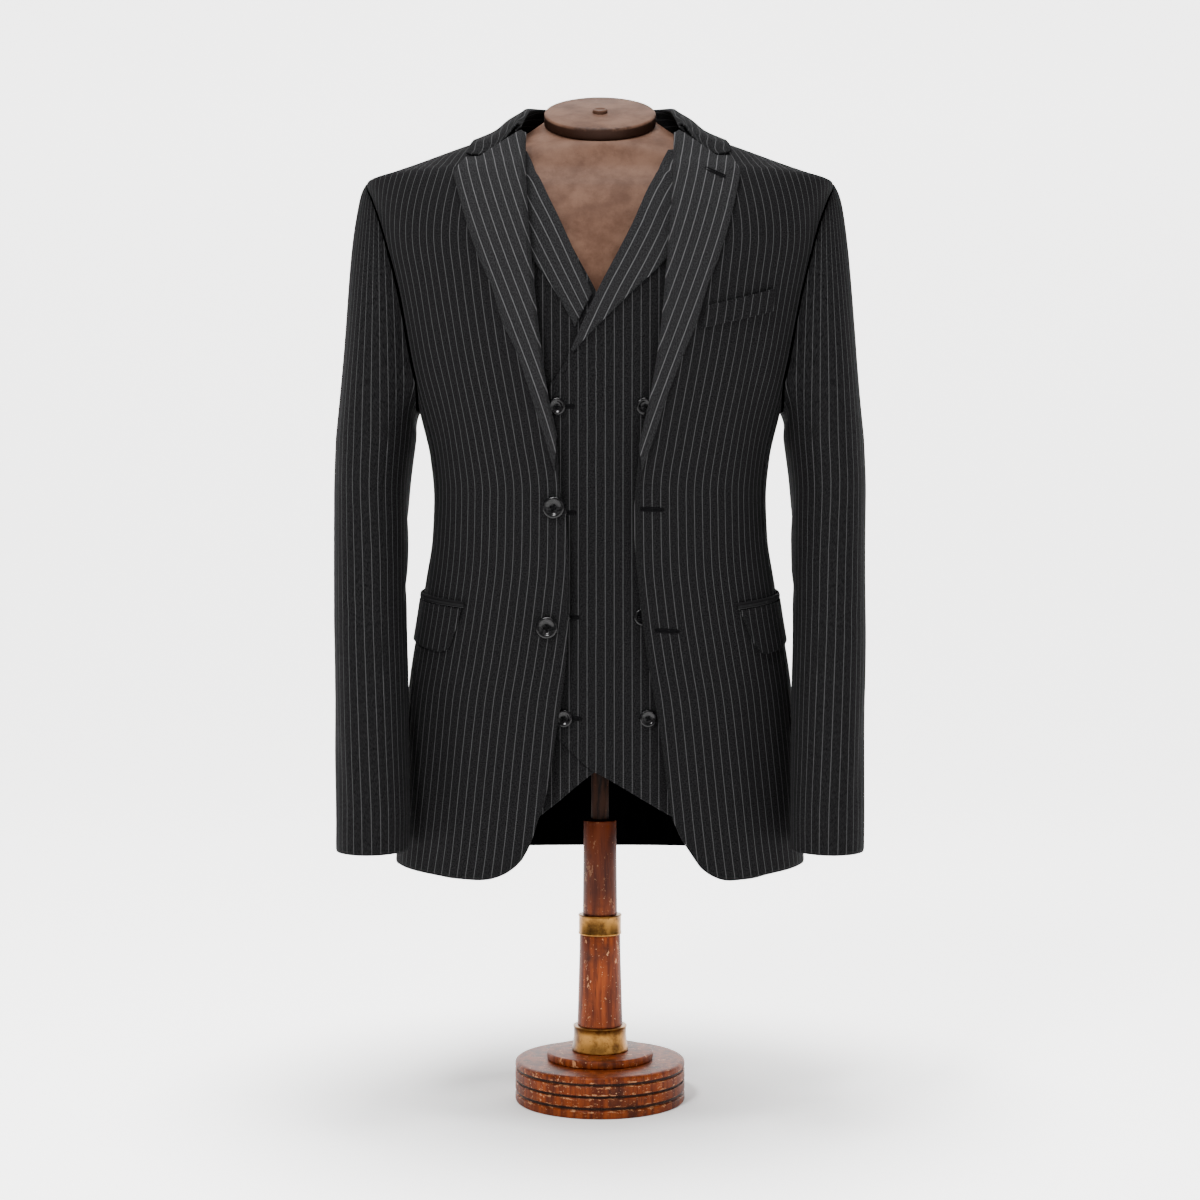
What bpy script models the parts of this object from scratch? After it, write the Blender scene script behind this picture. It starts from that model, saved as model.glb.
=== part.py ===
"""An open notch-lapel jacket over a double-breasted waistcoat, on a limbless dress form.

Metres, +Z up, +X the wearer's left, -Y the front. The origin is the bottom centre of the stand.
Cloth panels are walls over one set of body sections. A place on those sections is a flat pair:
the distance across from the centre front, as an angle times ROUND, and the height.
"""
import math
from collections import namedtuple

import bmesh
import bpy
from mathutils import Matrix, Vector

ROUND = 0.17
POWER = 2.3
STEP = 0.0005
SEAM_SHARE = 0.0012

JACKET_WALL = 0.0020
VEST_WALL = 0.0016
TRIM_WALL = 0.0018
LINING_WALL = 0.0010
TRIM_GAP = 0.0008
BUTTON_GAP = 0.0003
LAPEL_LIFT = TRIM_GAP + TRIM_WALL
FLAP_LIFT = LAPEL_LIFT + 0.0004

Section = namedtuple("Section", "height half_width front back")
SECTIONS = (
    Section(0.225, 0.2040, 0.126, 0.124),
    Section(0.300, 0.2000, 0.124, 0.121),
    Section(0.350, 0.1965, 0.122, 0.117),
    Section(0.400, 0.1920, 0.120, 0.112),
    Section(0.440, 0.1870, 0.118, 0.107),
    Section(0.480, 0.1800, 0.116, 0.102),
    Section(0.520, 0.1735, 0.115, 0.098),
    Section(0.560, 0.1675, 0.114, 0.096),
    Section(0.600, 0.1660, 0.115, 0.097),
    Section(0.640, 0.1695, 0.118, 0.101),
    Section(0.680, 0.1785, 0.122, 0.107),
    Section(0.720, 0.1885, 0.125, 0.113),
    Section(0.760, 0.1965, 0.126, 0.117),
    Section(0.800, 0.2045, 0.124, 0.119),
    Section(0.840, 0.2135, 0.119, 0.118),
    Section(0.870, 0.2205, 0.112, 0.114),
    Section(0.895, 0.2275, 0.102, 0.108),
    Section(0.912, 0.2325, 0.093, 0.100),
    Section(0.920, 0.2110, 0.086, 0.094),
    Section(0.928, 0.1880, 0.081, 0.089),
    Section(0.942, 0.1500, 0.073, 0.081),
    Section(0.954, 0.1165, 0.066, 0.075),
    Section(0.964, 0.0970, 0.060, 0.071),
    Section(0.976, 0.0825, 0.055, 0.066),
    Section(0.992, 0.0760, 0.050, 0.060),
)

Spot = namedtuple("Spot", "x height")
Mark = namedtuple("Mark", "y height")

FRONT_EDGE = {
    1: (
        Spot(0.0895, 0.2532), Spot(0.0752, 0.2760), Spot(0.0677, 0.2959), Spot(0.0565, 0.3757),
        Spot(0.0452, 0.4415), Spot(0.0377, 0.4980), Spot(0.0340, 0.5357), Spot(0.0321, 0.5735),
        Spot(0.0339, 0.6046),
    ),
    -1: (
        Spot(0.0733, 0.2536), Spot(0.0658, 0.2678), Spot(0.0582, 0.2913), Spot(0.0517, 0.3101),
        Spot(0.0414, 0.3711), Spot(0.0320, 0.4415), Spot(0.0292, 0.4980), Spot(0.0321, 0.5735),
        Spot(0.0377, 0.6018),
    ),
}
ROLL_LINE = {
    1: (
        Spot(0.0339, 0.6046), Spot(0.0377, 0.6393), Spot(0.0489, 0.6860), Spot(0.0601, 0.7515),
        Spot(0.0678, 0.8276), Spot(0.0720, 0.8768), Spot(0.0751, 0.9311), Spot(0.0765, 0.9500),
    ),
    -1: (
        Spot(0.0377, 0.6018), Spot(0.0414, 0.6487), Spot(0.0517, 0.6954), Spot(0.0601, 0.7515),
        Spot(0.0687, 0.8276), Spot(0.0729, 0.8768), Spot(0.0760, 0.9312), Spot(0.0765, 0.9500),
    ),
}
FRONT_HEM = {
    1: (
        Spot(0.0895, 0.2532), Spot(0.0952, 0.2455), Spot(0.1057, 0.2375), Spot(0.1153, 0.2334),
        Spot(0.1231, 0.2320), Spot(0.1427, 0.2326), Spot(0.1628, 0.2355),
    ),
    -1: (
        Spot(0.0733, 0.2536), Spot(0.0809, 0.2459), Spot(0.0933, 0.2380), Spot(0.1066, 0.2338),
        Spot(0.1182, 0.2328), Spot(0.1377, 0.2332), Spot(0.1577, 0.2350),
    ),
}
LAPEL_EDGE = {
    1: (
        Spot(0.0400, 0.6200), Spot(0.0530, 0.6560), Spot(0.0640, 0.6900), Spot(0.0810, 0.7330),
        Spot(0.0925, 0.7606), Spot(0.1020, 0.7931), Spot(0.1130, 0.8214), Spot(0.1240, 0.8570),
        Spot(0.1357, 0.9064),
    ),
    -1: (
        Spot(0.0430, 0.6180), Spot(0.0530, 0.6520), Spot(0.0611, 0.6767), Spot(0.0799, 0.7330),
        Spot(0.0932, 0.7606), Spot(0.1028, 0.7931), Spot(0.1154, 0.8214), Spot(0.1277, 0.8570),
        Spot(0.1418, 0.9062),
    ),
}
NOTCH_CORNER = {1: Spot(0.1130, 0.9245), -1: Spot(0.1165, 0.9238)}
NOTCH_MOUTH = {1: Spot(0.1270, 0.9290), -1: Spot(0.1305, 0.9272)}
NOTCH_GAP = Vector((0, 0.0010))
MOUTH_GAP = Vector((0, 0.0040))
COLLAR_GAP = Vector((0.0010, 0.0022))
CORNER_SHARE = 0.62
MOUTH_SHARE = 0.82

LapelColumn = namedtuple("LapelColumn", "share offset")
LAPEL_COLUMNS = (
    LapelColumn(0.0, -0.0040), LapelColumn(0.0, 0.0010), LapelColumn(0.0, 0.0080), LapelColumn(0.36, 0.0),
    LapelColumn(CORNER_SHARE, 0.0), LapelColumn(MOUTH_SHARE, 0.0), LapelColumn(1.0, 0.0),
)
LAPEL_ROWS = 12
NARROW_LAPEL = 0.030
LAPEL_ROLL = 0.0026
LAPEL_TOP_LIFT = 0.0008
FOLD_SINK = 0.0004

FRONT_SEAM = (
    Mark(-0.040, 0.2390), Mark(-0.042, 0.350), Mark(-0.038, 0.500), Mark(-0.038, 0.600),
    Mark(-0.041, 0.680),
)
BACK_SEAM = (
    Mark(0.060, 0.2390), Mark(0.058, 0.350), Mark(0.050, 0.500), Mark(0.048, 0.600),
    Mark(0.054, 0.680),
)
HEM_BACK = 0.2380

Turn = namedtuple("Turn", "degrees y height")
ARMHOLE = (
    Turn(0, 0.004, 0.9125), Turn(18, -0.012, 0.902), Turn(36, -0.024, 0.878),
    Turn(54, -0.033, 0.848), Turn(72, -0.039, 0.815), Turn(90, -0.042, 0.780),
    Turn(112, -0.042, 0.745), Turn(135, -0.043, 0.715), Turn(150, -0.036, 0.701),
    Turn(163, -0.022, 0.692), Turn(180, 0.000, 0.688), Turn(200, 0.022, 0.691),
    Turn(218, 0.042, 0.703), Turn(235, 0.058, 0.722), Turn(252, 0.064, 0.750),
    Turn(270, 0.068, 0.790), Turn(288, 0.067, 0.830), Turn(306, 0.060, 0.865),
    Turn(325, 0.045, 0.892), Turn(343, 0.026, 0.907), Turn(360, 0.004, 0.9125),
)
UNDERARM_FRONT = 135
UNDERARM_BACK = 235
SEAM_ROWS = 9
FRONT_ROWS = 18
BACK_ROWS = 17
VEST_SEAM_ROWS = 8
VEST_ROWS = 16
CROWDING = 1.35

Ring = namedtuple("Ring", "height x y half_width half_depth")
SLEEVE = (
    Ring(0.660, 0.2240, 0.006, 0.0400, 0.0720),
    Ring(0.600, 0.2275, -0.002, 0.0375, 0.0670),
    Ring(0.540, 0.2264, -0.018, 0.0366, 0.0620),
    Ring(0.480, 0.2246, -0.038, 0.0357, 0.0590),
    Ring(0.420, 0.2218, -0.058, 0.0355, 0.0565),
    Ring(0.360, 0.2191, -0.076, 0.0353, 0.0540),
    Ring(0.300, 0.2166, -0.092, 0.0353, 0.0515),
    Ring(0.2615, 0.2158, -0.102, 0.0343, 0.0500),
)
SLEEVE_SEAT = 0.0012
UNDERARM_SEAT = 0.0026
HEAD_RISE = 0.016
UNDERARM_RISE = 0.004
START_DROP = 0.03
HEAD_PULL = 0.012
FALL_REACH = 0.45
CAP_SHARE = 0.42
TOP_SLEEVE_TURN = 118

Level = namedtuple("Level", "body shoulder")
OVER_FRONT = Level(-0.0110, -0.0044)
UNDER_FRONT = Level(-0.0140, -0.0044)
VEST_BACK_LEVEL = Level(-0.0110, -0.0044)
OVER_LAPEL = Level(-0.0084, -0.0018)
UNDER_LAPEL = Level(-0.0114, -0.0020)
FORM_LEVEL = Level(-0.0194, -0.0092)
LINING_LEVEL = -0.0033
RISE_START = 0.900
RISE_END = 0.965
FORM_RISE_START = 0.922

VEST_EDGE = (
    Spot(-0.0411, 0.3703), Spot(-0.0446, 0.4790), Spot(-0.0465, 0.5930), Spot(-0.0482, 0.6909),
    Spot(-0.0330, 0.7197), Spot(-0.0179, 0.7553), Spot(-0.0028, 0.7894), Spot(0.0303, 0.8583),
    Spot(0.0440, 0.8936), Spot(0.0498, 0.9057), Spot(0.0549, 0.9180), Spot(0.0590, 0.9270),
    Spot(0.0630, 0.9360),
)
V_MIDDLE = -0.0028
OVER_HEM = (
    Spot(-0.0411, 0.3703), Spot(-0.0047, 0.3356), Spot(0.0104, 0.3271), Spot(0.0671, 0.2928),
    Spot(0.0880, 0.2830), Spot(0.1050, 0.2930), Spot(0.1350, 0.3240),
)
UNDER_HEM = (
    Spot(0.0355, 0.3703), Spot(-0.0076, 0.3335), Spot(-0.0539, 0.2946), Spot(-0.0740, 0.2830),
    Spot(-0.0930, 0.2930), Spot(-0.1300, 0.3240),
)
VEST_SIDE_HEM = 0.345
VEST_SIDE_TOP = 0.665
VEST_ARMHOLE = (
    Spot(0.1600, 0.6950), Spot(0.1460, 0.7500), Spot(0.1400, 0.8100), Spot(0.1380, 0.8600),
    Spot(0.1370, 0.9050),
)
VEST_SHOULDER_HEIGHT = 0.940
VEST_NECK_HEIGHT = 0.974
VEST_NAPE_HEIGHT = 0.964
OVER_LAPEL_EDGES = (
    (Spot(-0.0270, 0.7330), Spot(-0.0179, 0.7553), Spot(-0.0028, 0.7894), Spot(0.0303, 0.8583),
     Spot(0.0440, 0.8936), Spot(0.0498, 0.9057), Spot(0.0549, 0.9180), Spot(0.0590, 0.9270),
     Spot(0.0630, 0.9360)),
    (Spot(-0.0235, 0.7330), Spot(-0.0125, 0.7455), Spot(0.0236, 0.7835), Spot(0.0624, 0.8233),
     Spot(0.0856, 0.8640), Spot(0.0925, 0.9050), Spot(0.0912, 0.9180), Spot(0.0895, 0.9270),
     Spot(0.0860, 0.9360)),
)
UNDER_LAPEL_EDGES = (
    (Spot(-0.0070, 0.7880), Spot(-0.0351, 0.8584), Spot(-0.0497, 0.8936), Spot(-0.0545, 0.9057),
     Spot(-0.0597, 0.9180), Spot(-0.0632, 0.9270), Spot(-0.0669, 0.9360)),
    (Spot(-0.0225, 0.7560), Spot(-0.0425, 0.7925), Spot(-0.0682, 0.8325), Spot(-0.0857, 0.8644),
     Spot(-0.0925, 0.9050), Spot(-0.0913, 0.9180), Spot(-0.0898, 0.9270), Spot(-0.0870, 0.9360)),
)
LINING_HEM = HEM_BACK + 0.004
LINING_TOP = 0.420
LINING_REACH = 0.68

FLAP = {
    1: (Spot(0.1355, 0.4880), Spot(0.1543, 0.4447)),
    -1: (Spot(-0.1343, 0.4894), Spot(-0.1442, 0.4482)),
}
FLAP_HEIGHT = 0.044
FLAP_REAR_Y = 0.030
FLAP_REAR_TOP = 0.511
JET_HEIGHT = 0.006
JET_REACH = 0.002
FLAP_ROUNDING = 0.10
WELT_LOW = (Spot(0.0965, 0.7540), Spot(0.1675, 0.7755))
WELT_HIGH = (Spot(0.1015, 0.7755), Spot(0.1690, 0.7970))

Spool = namedtuple("Spool", "diameter thickness")
JACKET_BUTTON = Spool(0.0210, 0.0042)
VEST_BUTTON = Spool(0.0165, 0.0030)
JACKET_BUTTON_SPOTS = (Spot(-0.0437, 0.5850), Spot(-0.0500, 0.4716))
VEST_BUTTON_ROWS = (0.6800, 0.5806, 0.4819, 0.3862)
VEST_BUTTON_COLUMNS = (
    (-0.0393, -0.0380, -0.0351, -0.0331),
    (0.0407, 0.0408, 0.0389, 0.0439),
)

CollarStation = namedtuple(
    "CollarStation", "share edge_turn edge_height neck_turn neck_height fold_x fold_y fold_height"
)
COLLAR_STATIONS = (
    CollarStation(0.00, 37, 0.9280, 36, 0.9560, 0.0800, -0.0530, 0.9620),
    CollarStation(0.20, 62, 0.9460, 60, 0.9650, 0.0765, -0.0310, 0.9765),
    CollarStation(0.40, 90, 0.9525, 90, 0.9770, 0.0735, 0.0030, 0.9900),
    CollarStation(0.60, 120, 0.9500, 120, 0.9755, 0.0640, 0.0390, 0.9985),
    CollarStation(0.80, 150, 0.9480, 150, 0.9735, 0.0370, 0.0640, 1.0030),
    CollarStation(1.00, 180, 0.9480, 180, 0.9730, 0.0000, 0.0720, 1.0050),
)
FOLD_RADIUS = 0.0042
FOLD_DROP = 0.6
COLLAR_PLACES = (0.0, 0.25, 0.5, 0.625, 0.75, 0.875, 1.0)
NOTCH_BLEND = 0.10
COLLAR_MIDDLE = 0.45
COLLAR_HIGH = 0.85
GORGE_HIGH = 0.55
CollarLift = namedtuple("CollarLift", "notch round")
LOW_LIFT = CollarLift(0.0012, 0.0018)
MIDDLE_LIFT = CollarLift(0.0018, 0.0031)
HIGH_LIFT = CollarLift(0.0024, 0.0052)
STAND_DROP = 0.003
STAND_END = Vector((0.0020, -0.0010, -0.0090))

FormRing = namedtuple("FormRing", "front side back")
FORM_RINGS = (
    FormRing(0.400, 0.400, 0.400), FormRing(0.450, 0.450, 0.450), FormRing(0.510, 0.510, 0.510),
    FormRing(0.570, 0.570, 0.570), FormRing(0.640, 0.640, 0.640), FormRing(0.710, 0.710, 0.710),
    FormRing(0.770, 0.770, 0.770), FormRing(0.825, 0.825, 0.825), FormRing(0.865, 0.870, 0.870),
    FormRing(0.893, 0.886, 0.886), FormRing(0.907, 0.924, 0.922), FormRing(0.918, 0.932, 0.932),
    FormRing(0.928, 0.946, 0.946), FormRing(0.936, 0.960, 0.960),
)
FORM_SIDES = 28
NECK_TILT = math.radians(28.5)
NeckRing = namedtuple("NeckRing", "tilt y height half_width half_depth")
NECK_RINGS = (
    NeckRing(math.radians(22), 0.002, 0.9670, 0.0680, 0.0640),
    NeckRing(NECK_TILT, 0.0055, 0.9750, 0.0550, 0.0615),
)
CAP_THICKNESS = 0.0120
CAP_CENTRE = (0.0, 0.0, 0.9855)
CAP_HALF_WIDTH = 0.0560
CAP_HALF_DEPTH = 0.0625
PLUG_RADIUS = 0.0075
PLUG_HEIGHT = 0.0030

SEAT = 0.0003
Turned = namedtuple("Turned", "radius height")
BASE_PROFILE = (
    Turned(0.0000, 0.0402), Turned(0.0800, 0.0402), Turned(0.0835, 0.0392), Turned(0.0845, 0.0375),
    Turned(0.0845, 0.0342), Turned(0.0825, 0.0338), Turned(0.0825, 0.0312), Turned(0.0845, 0.0308),
    Turned(0.0845, 0.0225), Turned(0.0825, 0.0221), Turned(0.0825, 0.0201), Turned(0.0845, 0.0197),
    Turned(0.0845, 0.0117), Turned(0.0825, 0.0113), Turned(0.0825, 0.0078), Turned(0.0845, 0.0074),
    Turned(0.0845, 0.0020), Turned(0.0830, 0.0000), Turned(0.0000, 0.0000),
)
DISC_PROFILE = (
    Turned(0.0000, 0.0485), Turned(0.0505, 0.0485), Turned(0.0527, 0.0470), Turned(0.0527, 0.0415),
    Turned(0.0515, 0.0405), Turned(0.0000, 0.0405),
)
COLLAR_LOWER_PROFILE = (
    Turned(0.0000, 0.0740), Turned(0.0236, 0.0740), Turned(0.0246, 0.0730), Turned(0.0246, 0.0640),
    Turned(0.0262, 0.0620), Turned(0.0280, 0.0560), Turned(0.0280, 0.0488), Turned(0.0000, 0.0488),
)
COLUMN_LOWER_PROFILE = (
    Turned(0.0000, 0.1642), Turned(0.0200, 0.1642), Turned(0.0205, 0.1450), Turned(0.0225, 0.0743),
    Turned(0.0000, 0.0743),
)
RING_UPPER_PROFILE = (
    Turned(0.0000, 0.1845), Turned(0.0205, 0.1845), Turned(0.0215, 0.1835), Turned(0.0215, 0.1655),
    Turned(0.0207, 0.1645), Turned(0.0000, 0.1645),
)
COLUMN_UPPER_PROFILE = (
    Turned(0.0000, 0.2780), Turned(0.0155, 0.2780), Turned(0.0163, 0.2765), Turned(0.0172, 0.1848),
    Turned(0.0000, 0.1848),
)
POST_PROFILE = (
    Turned(0.0000, 0.3997), Turned(0.0088, 0.3997), Turned(0.0088, 0.2783), Turned(0.0000, 0.2783),
)

NECK_POINT_HEIGHT = 0.976
NAPE_HEIGHT = 0.972
NECK_HOLD = 6
VEST_NECK_HOLD = 10


def spline(places, values):
    """A smooth reading between rows that never overshoots them."""
    count = len(places)
    gaps = [places[i + 1] - places[i] for i in range(count - 1)]
    rises = [(values[i + 1] - values[i]) / gaps[i] for i in range(count - 1)]
    slopes = [rises[0]]
    for before, after in zip(rises, rises[1:]):
        turning = before * after <= 0
        slopes.append(0.0 if turning else 2 * before * after / (before + after))
    slopes.append(rises[-1])

    def reading(place):
        place = min(max(place, places[0]), places[-1])
        i = max(k for k in range(count - 1) if places[k] <= place)
        t = (place - places[i]) / gaps[i]
        value = (2 * t**3 - 3 * t**2 + 1) * values[i] + (3 * t**2 - 2 * t**3) * values[i + 1]
        value += gaps[i] * ((t**3 - 2 * t**2 + t) * slopes[i] + (t**3 - t**2) * slopes[i + 1])
        return value

    return reading


def along(places, points):
    """Straight runs between points, each reached at its own place."""
    def reading(t):
        i = max(k for k in range(len(places) - 1) if places[k] <= t)
        share = (t - places[i]) / (places[i + 1] - places[i])
        return points[i] * (1 - share) + points[i + 1] * share

    return reading


def columns_of(rows, key):
    """Each column of a table as a smooth reading over its key column."""
    places = [getattr(row, key) for row in rows]
    return {
        name: spline(places, [getattr(row, name) for row in rows])
        for name in rows[0]._fields
        if name != key
    }


def path(points):
    """A smooth curve through points or flat places, read from 0 to 1 along its real length."""
    points = [Vector(point) for point in points]
    real = [body_point(point) if len(point) == 2 else point for point in points]
    reach = [0.0]
    for before, after in zip(real, real[1:]):
        reach.append(reach[-1] + (after - before).length)
    reach = [length / reach[-1] for length in reach]
    parts = [spline(reach, [point[i] for point in points]) for i in range(len(points[0]))]
    return lambda t: Vector([part(t) for part in parts])


BODY = columns_of(SECTIONS, "height")
ARM = columns_of(ARMHOLE, "degrees")
TUBE = columns_of(SLEEVE[::-1], "height")


def signed_power(value, power):
    return math.copysign(abs(value) ** power, value)


def body_point(flat, lift=0.0):
    """The point of the body sections at a flat place, moved out along their normal by lift."""
    angle = flat[0] / ROUND
    height = flat[1]
    width = BODY["half_width"](height)
    side = "front" if math.cos(angle) >= 0 else "back"
    depth = BODY[side](height)
    x = width * signed_power(math.sin(angle), 2 / POWER)
    y = -depth * signed_power(math.cos(angle), 2 / POWER)
    width_slope = (BODY["half_width"](height + STEP) - BODY["half_width"](height - STEP)) / (2 * STEP)
    depth_slope = (BODY[side](height + STEP) - BODY[side](height - STEP)) / (2 * STEP)
    across = abs(x) / width
    along = abs(y) / depth
    normal = Vector((
        math.copysign(across ** (POWER - 1), x) / width,
        math.copysign(along ** (POWER - 1), y) / depth,
        -(across**POWER) * width_slope / width - along**POWER * depth_slope / depth,
    ))
    return Vector((x, y, height)) + lift * normal.normalized()


def from_front(spot, lift=0.0):
    """The flat place seen at x and height from the front, for cloth at that lift."""
    width = BODY["half_width"](spot[1]) + lift
    share = min(abs(spot[0]) / width, 1.0)
    return Vector((math.copysign(ROUND * math.asin(share ** (POWER / 2)), spot[0]), spot[1]))


def seen_path(spots):
    """A smooth curve through places seen from the front, read from 0 to 1 along its height."""
    first, last = spots[0].height, spots[-1].height
    across = spline([spot.height for spot in spots], [spot.x for spot in spots])
    return lambda t: Vector((across(mixed(first, last, t)), mixed(first, last, t)))


def from_back(spot, lift=0.0):
    """The flat place seen at x and height from the back, on the wearer's left."""
    flat = from_front(spot, lift)
    return Vector((math.pi * ROUND - flat[0], flat[1]))


def from_side(mark):
    """The flat place seen at y and height from the wearer's left."""
    depth = BODY["front" if mark[0] < 0 else "back"](mark[1])
    angle = math.acos(min((abs(mark[0]) / depth) ** (POWER / 2), 1.0))
    if mark[0] >= 0:
        angle = math.pi - angle
    return Vector((ROUND * angle, mark[1]))


def armhole_mark(degrees, grow=1.0):
    """A place on the armhole, which a grow over 1 widens round its middle."""
    middle = (ARM["height"](0) + ARM["height"](180)) / 2
    y = ARM["y"](degrees) * grow
    return Mark(y, middle + (ARM["height"](degrees) - middle) * grow)


def armhole_flats(first, last, steps=8):
    turns = [first + (last - first) * i / steps for i in range(steps + 1)]
    return [from_side(armhole_mark(turn)) for turn in turns]


def mixed(before, after, t):
    return before * (1 - t) + after * t


def smooth_step(value, low, high):
    t = min(max((value - low) / (high - low), 0.0), 1.0)
    return t * t * (3 - 2 * t)


def patch(left, right, bottom, top, hold=1):
    """The flat place at (u, v) between four edges that share their corners.

    A hold over 1 keeps the shape of the top edge near the top.
    """
    def place(u, v):
        low = bottom(u) - mixed(bottom(0), bottom(1), u)
        high = top(u) - mixed(top(0), top(1), u)
        return mixed(left(v), right(v), u) + mixed(low, high, v**hold)

    return place


def squeezed(share):
    """A share of a panel's width, kept off its seams."""
    return SEAM_SHARE + share * (1 - 2 * SEAM_SHARE)


def make_material(name, colour, roughness, metallic=0.0):
    material = bpy.data.materials.new(name)
    material.use_nodes = True
    shader = material.node_tree.nodes["Principled BSDF"]
    shader.inputs["Base Color"].default_value = (*colour, 1.0)
    shader.inputs["Roughness"].default_value = roughness
    shader.inputs["Metallic"].default_value = metallic
    material.diffuse_color = (*colour, 1.0)
    return material


def new_collection(name):
    collection = bpy.data.collections.new(name)
    bpy.context.scene.collection.children.link(collection)
    return collection


def keep(name, mesh, material, matrix=None):
    """A named object of the suit."""
    item = bpy.data.objects.new(name, mesh)
    if not mesh.materials:
        mesh.materials.append(material)
    if matrix is not None:
        item.matrix_world = matrix
    SUIT.objects.link(item)
    return item


def wall(name, place, columns, rows, material):
    """A closed cloth wall. place(u, v, outer) gives a point of its outer or inner face."""
    shape = bmesh.new()
    bmesh.ops.create_grid(shape, x_segments=columns, y_segments=rows, size=0.5)
    inner = shape.verts[:]
    copied = bmesh.ops.extrude_face_region(shape, geom=shape.faces[:], use_keep_orig=True)
    outer = [item for item in copied["geom"] if isinstance(item, bmesh.types.BMVert)]
    for vertices, is_outer in ((inner, False), (outer, True)):
        for vertex in vertices:
            vertex.co = place(vertex.co.x + 0.5, vertex.co.y + 0.5, is_outer)
    bmesh.ops.recalc_face_normals(shape, faces=shape.faces[:])
    if shape.calc_volume(signed=True) < 0:
        bmesh.ops.reverse_faces(shape, faces=shape.faces[:])
    mesh = bpy.data.meshes.new(name)
    shape.to_mesh(mesh)
    shape.free()
    mesh.shade_smooth()
    mesh.set_sharp_from_angle(angle=math.radians(50))
    return keep(name, mesh, material)


def body_wall(name, place, columns, rows, thickness, material, lift=0.0):
    """A wall that lies on the body sections. lift may be a function of (u, v, height)."""
    def point(u, v, outer):
        flat = place(squeezed(u), squeezed(v))
        level = lift(u, v, flat[1]) if callable(lift) else lift
        return body_point(flat, level if outer else level - thickness)

    return wall(name, point, columns, rows, material)


def free_wall(name, surface, columns, rows, thickness, material):
    """A wall under a surface(u, v) of its own, with the thickness along that surface's normal."""
    def point(u, v, outer):
        here = surface(u, v)
        if outer:
            return here
        low_u, high_u = max(u - 0.03, 0.0), min(u + 0.03, 1.0)
        low_v, high_v = max(v - 0.01, 0.0), min(v + 0.01, 1.0)
        along_u = surface(high_u, v) - surface(low_u, v)
        along_v = surface(u, high_v) - surface(u, low_v)
        return here - thickness * along_u.cross(along_v).normalized()

    return wall(name, point, columns, rows, material)


def sided(flat, side):
    return Vector((side * flat[0], flat[1]))


def side_seam(marks, corner_degrees):
    """A side seam from the hem up to the armhole, read by height, so that both panels share it."""
    flats = [from_side(mark) for mark in marks + (armhole_mark(corner_degrees),)]
    across = spline([flat[1] for flat in flats], [flat[0] for flat in flats])

    def place(t):
        height = mixed(flats[0][1], flats[-1][1], t)
        return Vector((across(height), height))

    return place


def joined(first, second, split):
    """Two edges in a row, where the first takes the split share of the rows."""
    return lambda t: first(t / split) if t < split else second((t - split) / (1 - split))


def crowded(v, split):
    """Rows past the split drawn together towards the shoulder, where the cloth bends most."""
    if v < split:
        return v
    return 1 - (1 - split) * ((1 - v) / (1 - split)) ** CROWDING


def jacket_front(side, suffix):
    edge = [from_front(spot) for spot in FRONT_EDGE[side] + ROLL_LINE[side][1:]]
    neck_point = Vector((ROUND * math.pi / 2, NECK_POINT_HEIGHT))
    armhole = path(armhole_flats(UNDERARM_FRONT, 0))
    split = SEAM_ROWS / FRONT_ROWS
    seam = joined(side_seam(FRONT_SEAM, UNDERARM_FRONT), armhole, split)
    hem = [from_front(spot) for spot in FRONT_HEM[side]] + [seam(0)]
    place = patch(path(edge + [neck_point]), seam, path(hem), path([neck_point, seam(1)]))
    body_wall(
        "jacket_front_" + suffix, lambda u, v: sided(place(u, crowded(v, split)), side),
        9, FRONT_ROWS, JACKET_WALL, CLOTH,
    )


def jacket_side(side, suffix):
    front = side_seam(FRONT_SEAM, UNDERARM_FRONT)
    back = side_seam(BACK_SEAM, UNDERARM_BACK)
    underarm = path(armhole_flats(UNDERARM_FRONT, UNDERARM_BACK))
    place = patch(front, back, path([front(0), back(0)]), underarm)
    name = "jacket_side_" + suffix
    body_wall(name, lambda u, v: sided(place(u, v), side), 4, SEAM_ROWS, JACKET_WALL, CLOTH)


def jacket_back(side, suffix):
    armhole = path(armhole_flats(UNDERARM_BACK, 360))
    split = SEAM_ROWS / BACK_ROWS
    seam = joined(side_seam(BACK_SEAM, UNDERARM_BACK), armhole, split)
    middle = ROUND * math.pi
    neck_point = Vector((middle / 2, NECK_POINT_HEIGHT))
    nape = Vector((middle, NAPE_HEIGHT))
    neck = path([seam(1), neck_point, Vector((0.78 * middle, NAPE_HEIGHT)), nape])
    centre = path([Vector((middle, HEM_BACK)), nape])
    place = patch(seam, centre, path([seam(0), centre(0)]), neck, NECK_HOLD)
    body_wall(
        "jacket_back_" + suffix, lambda u, v: sided(place(u, crowded(v, split)), side),
        9, BACK_ROWS, JACKET_WALL, CLOTH,
    )


def sleeve_ring(height, degrees):
    angle = math.radians(degrees)
    x = TUBE["x"](height) + TUBE["half_width"](height) * math.cos(angle)
    y = TUBE["y"](height) - TUBE["half_depth"](height) * math.sin(angle)
    return Vector((x, y, height))


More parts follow.
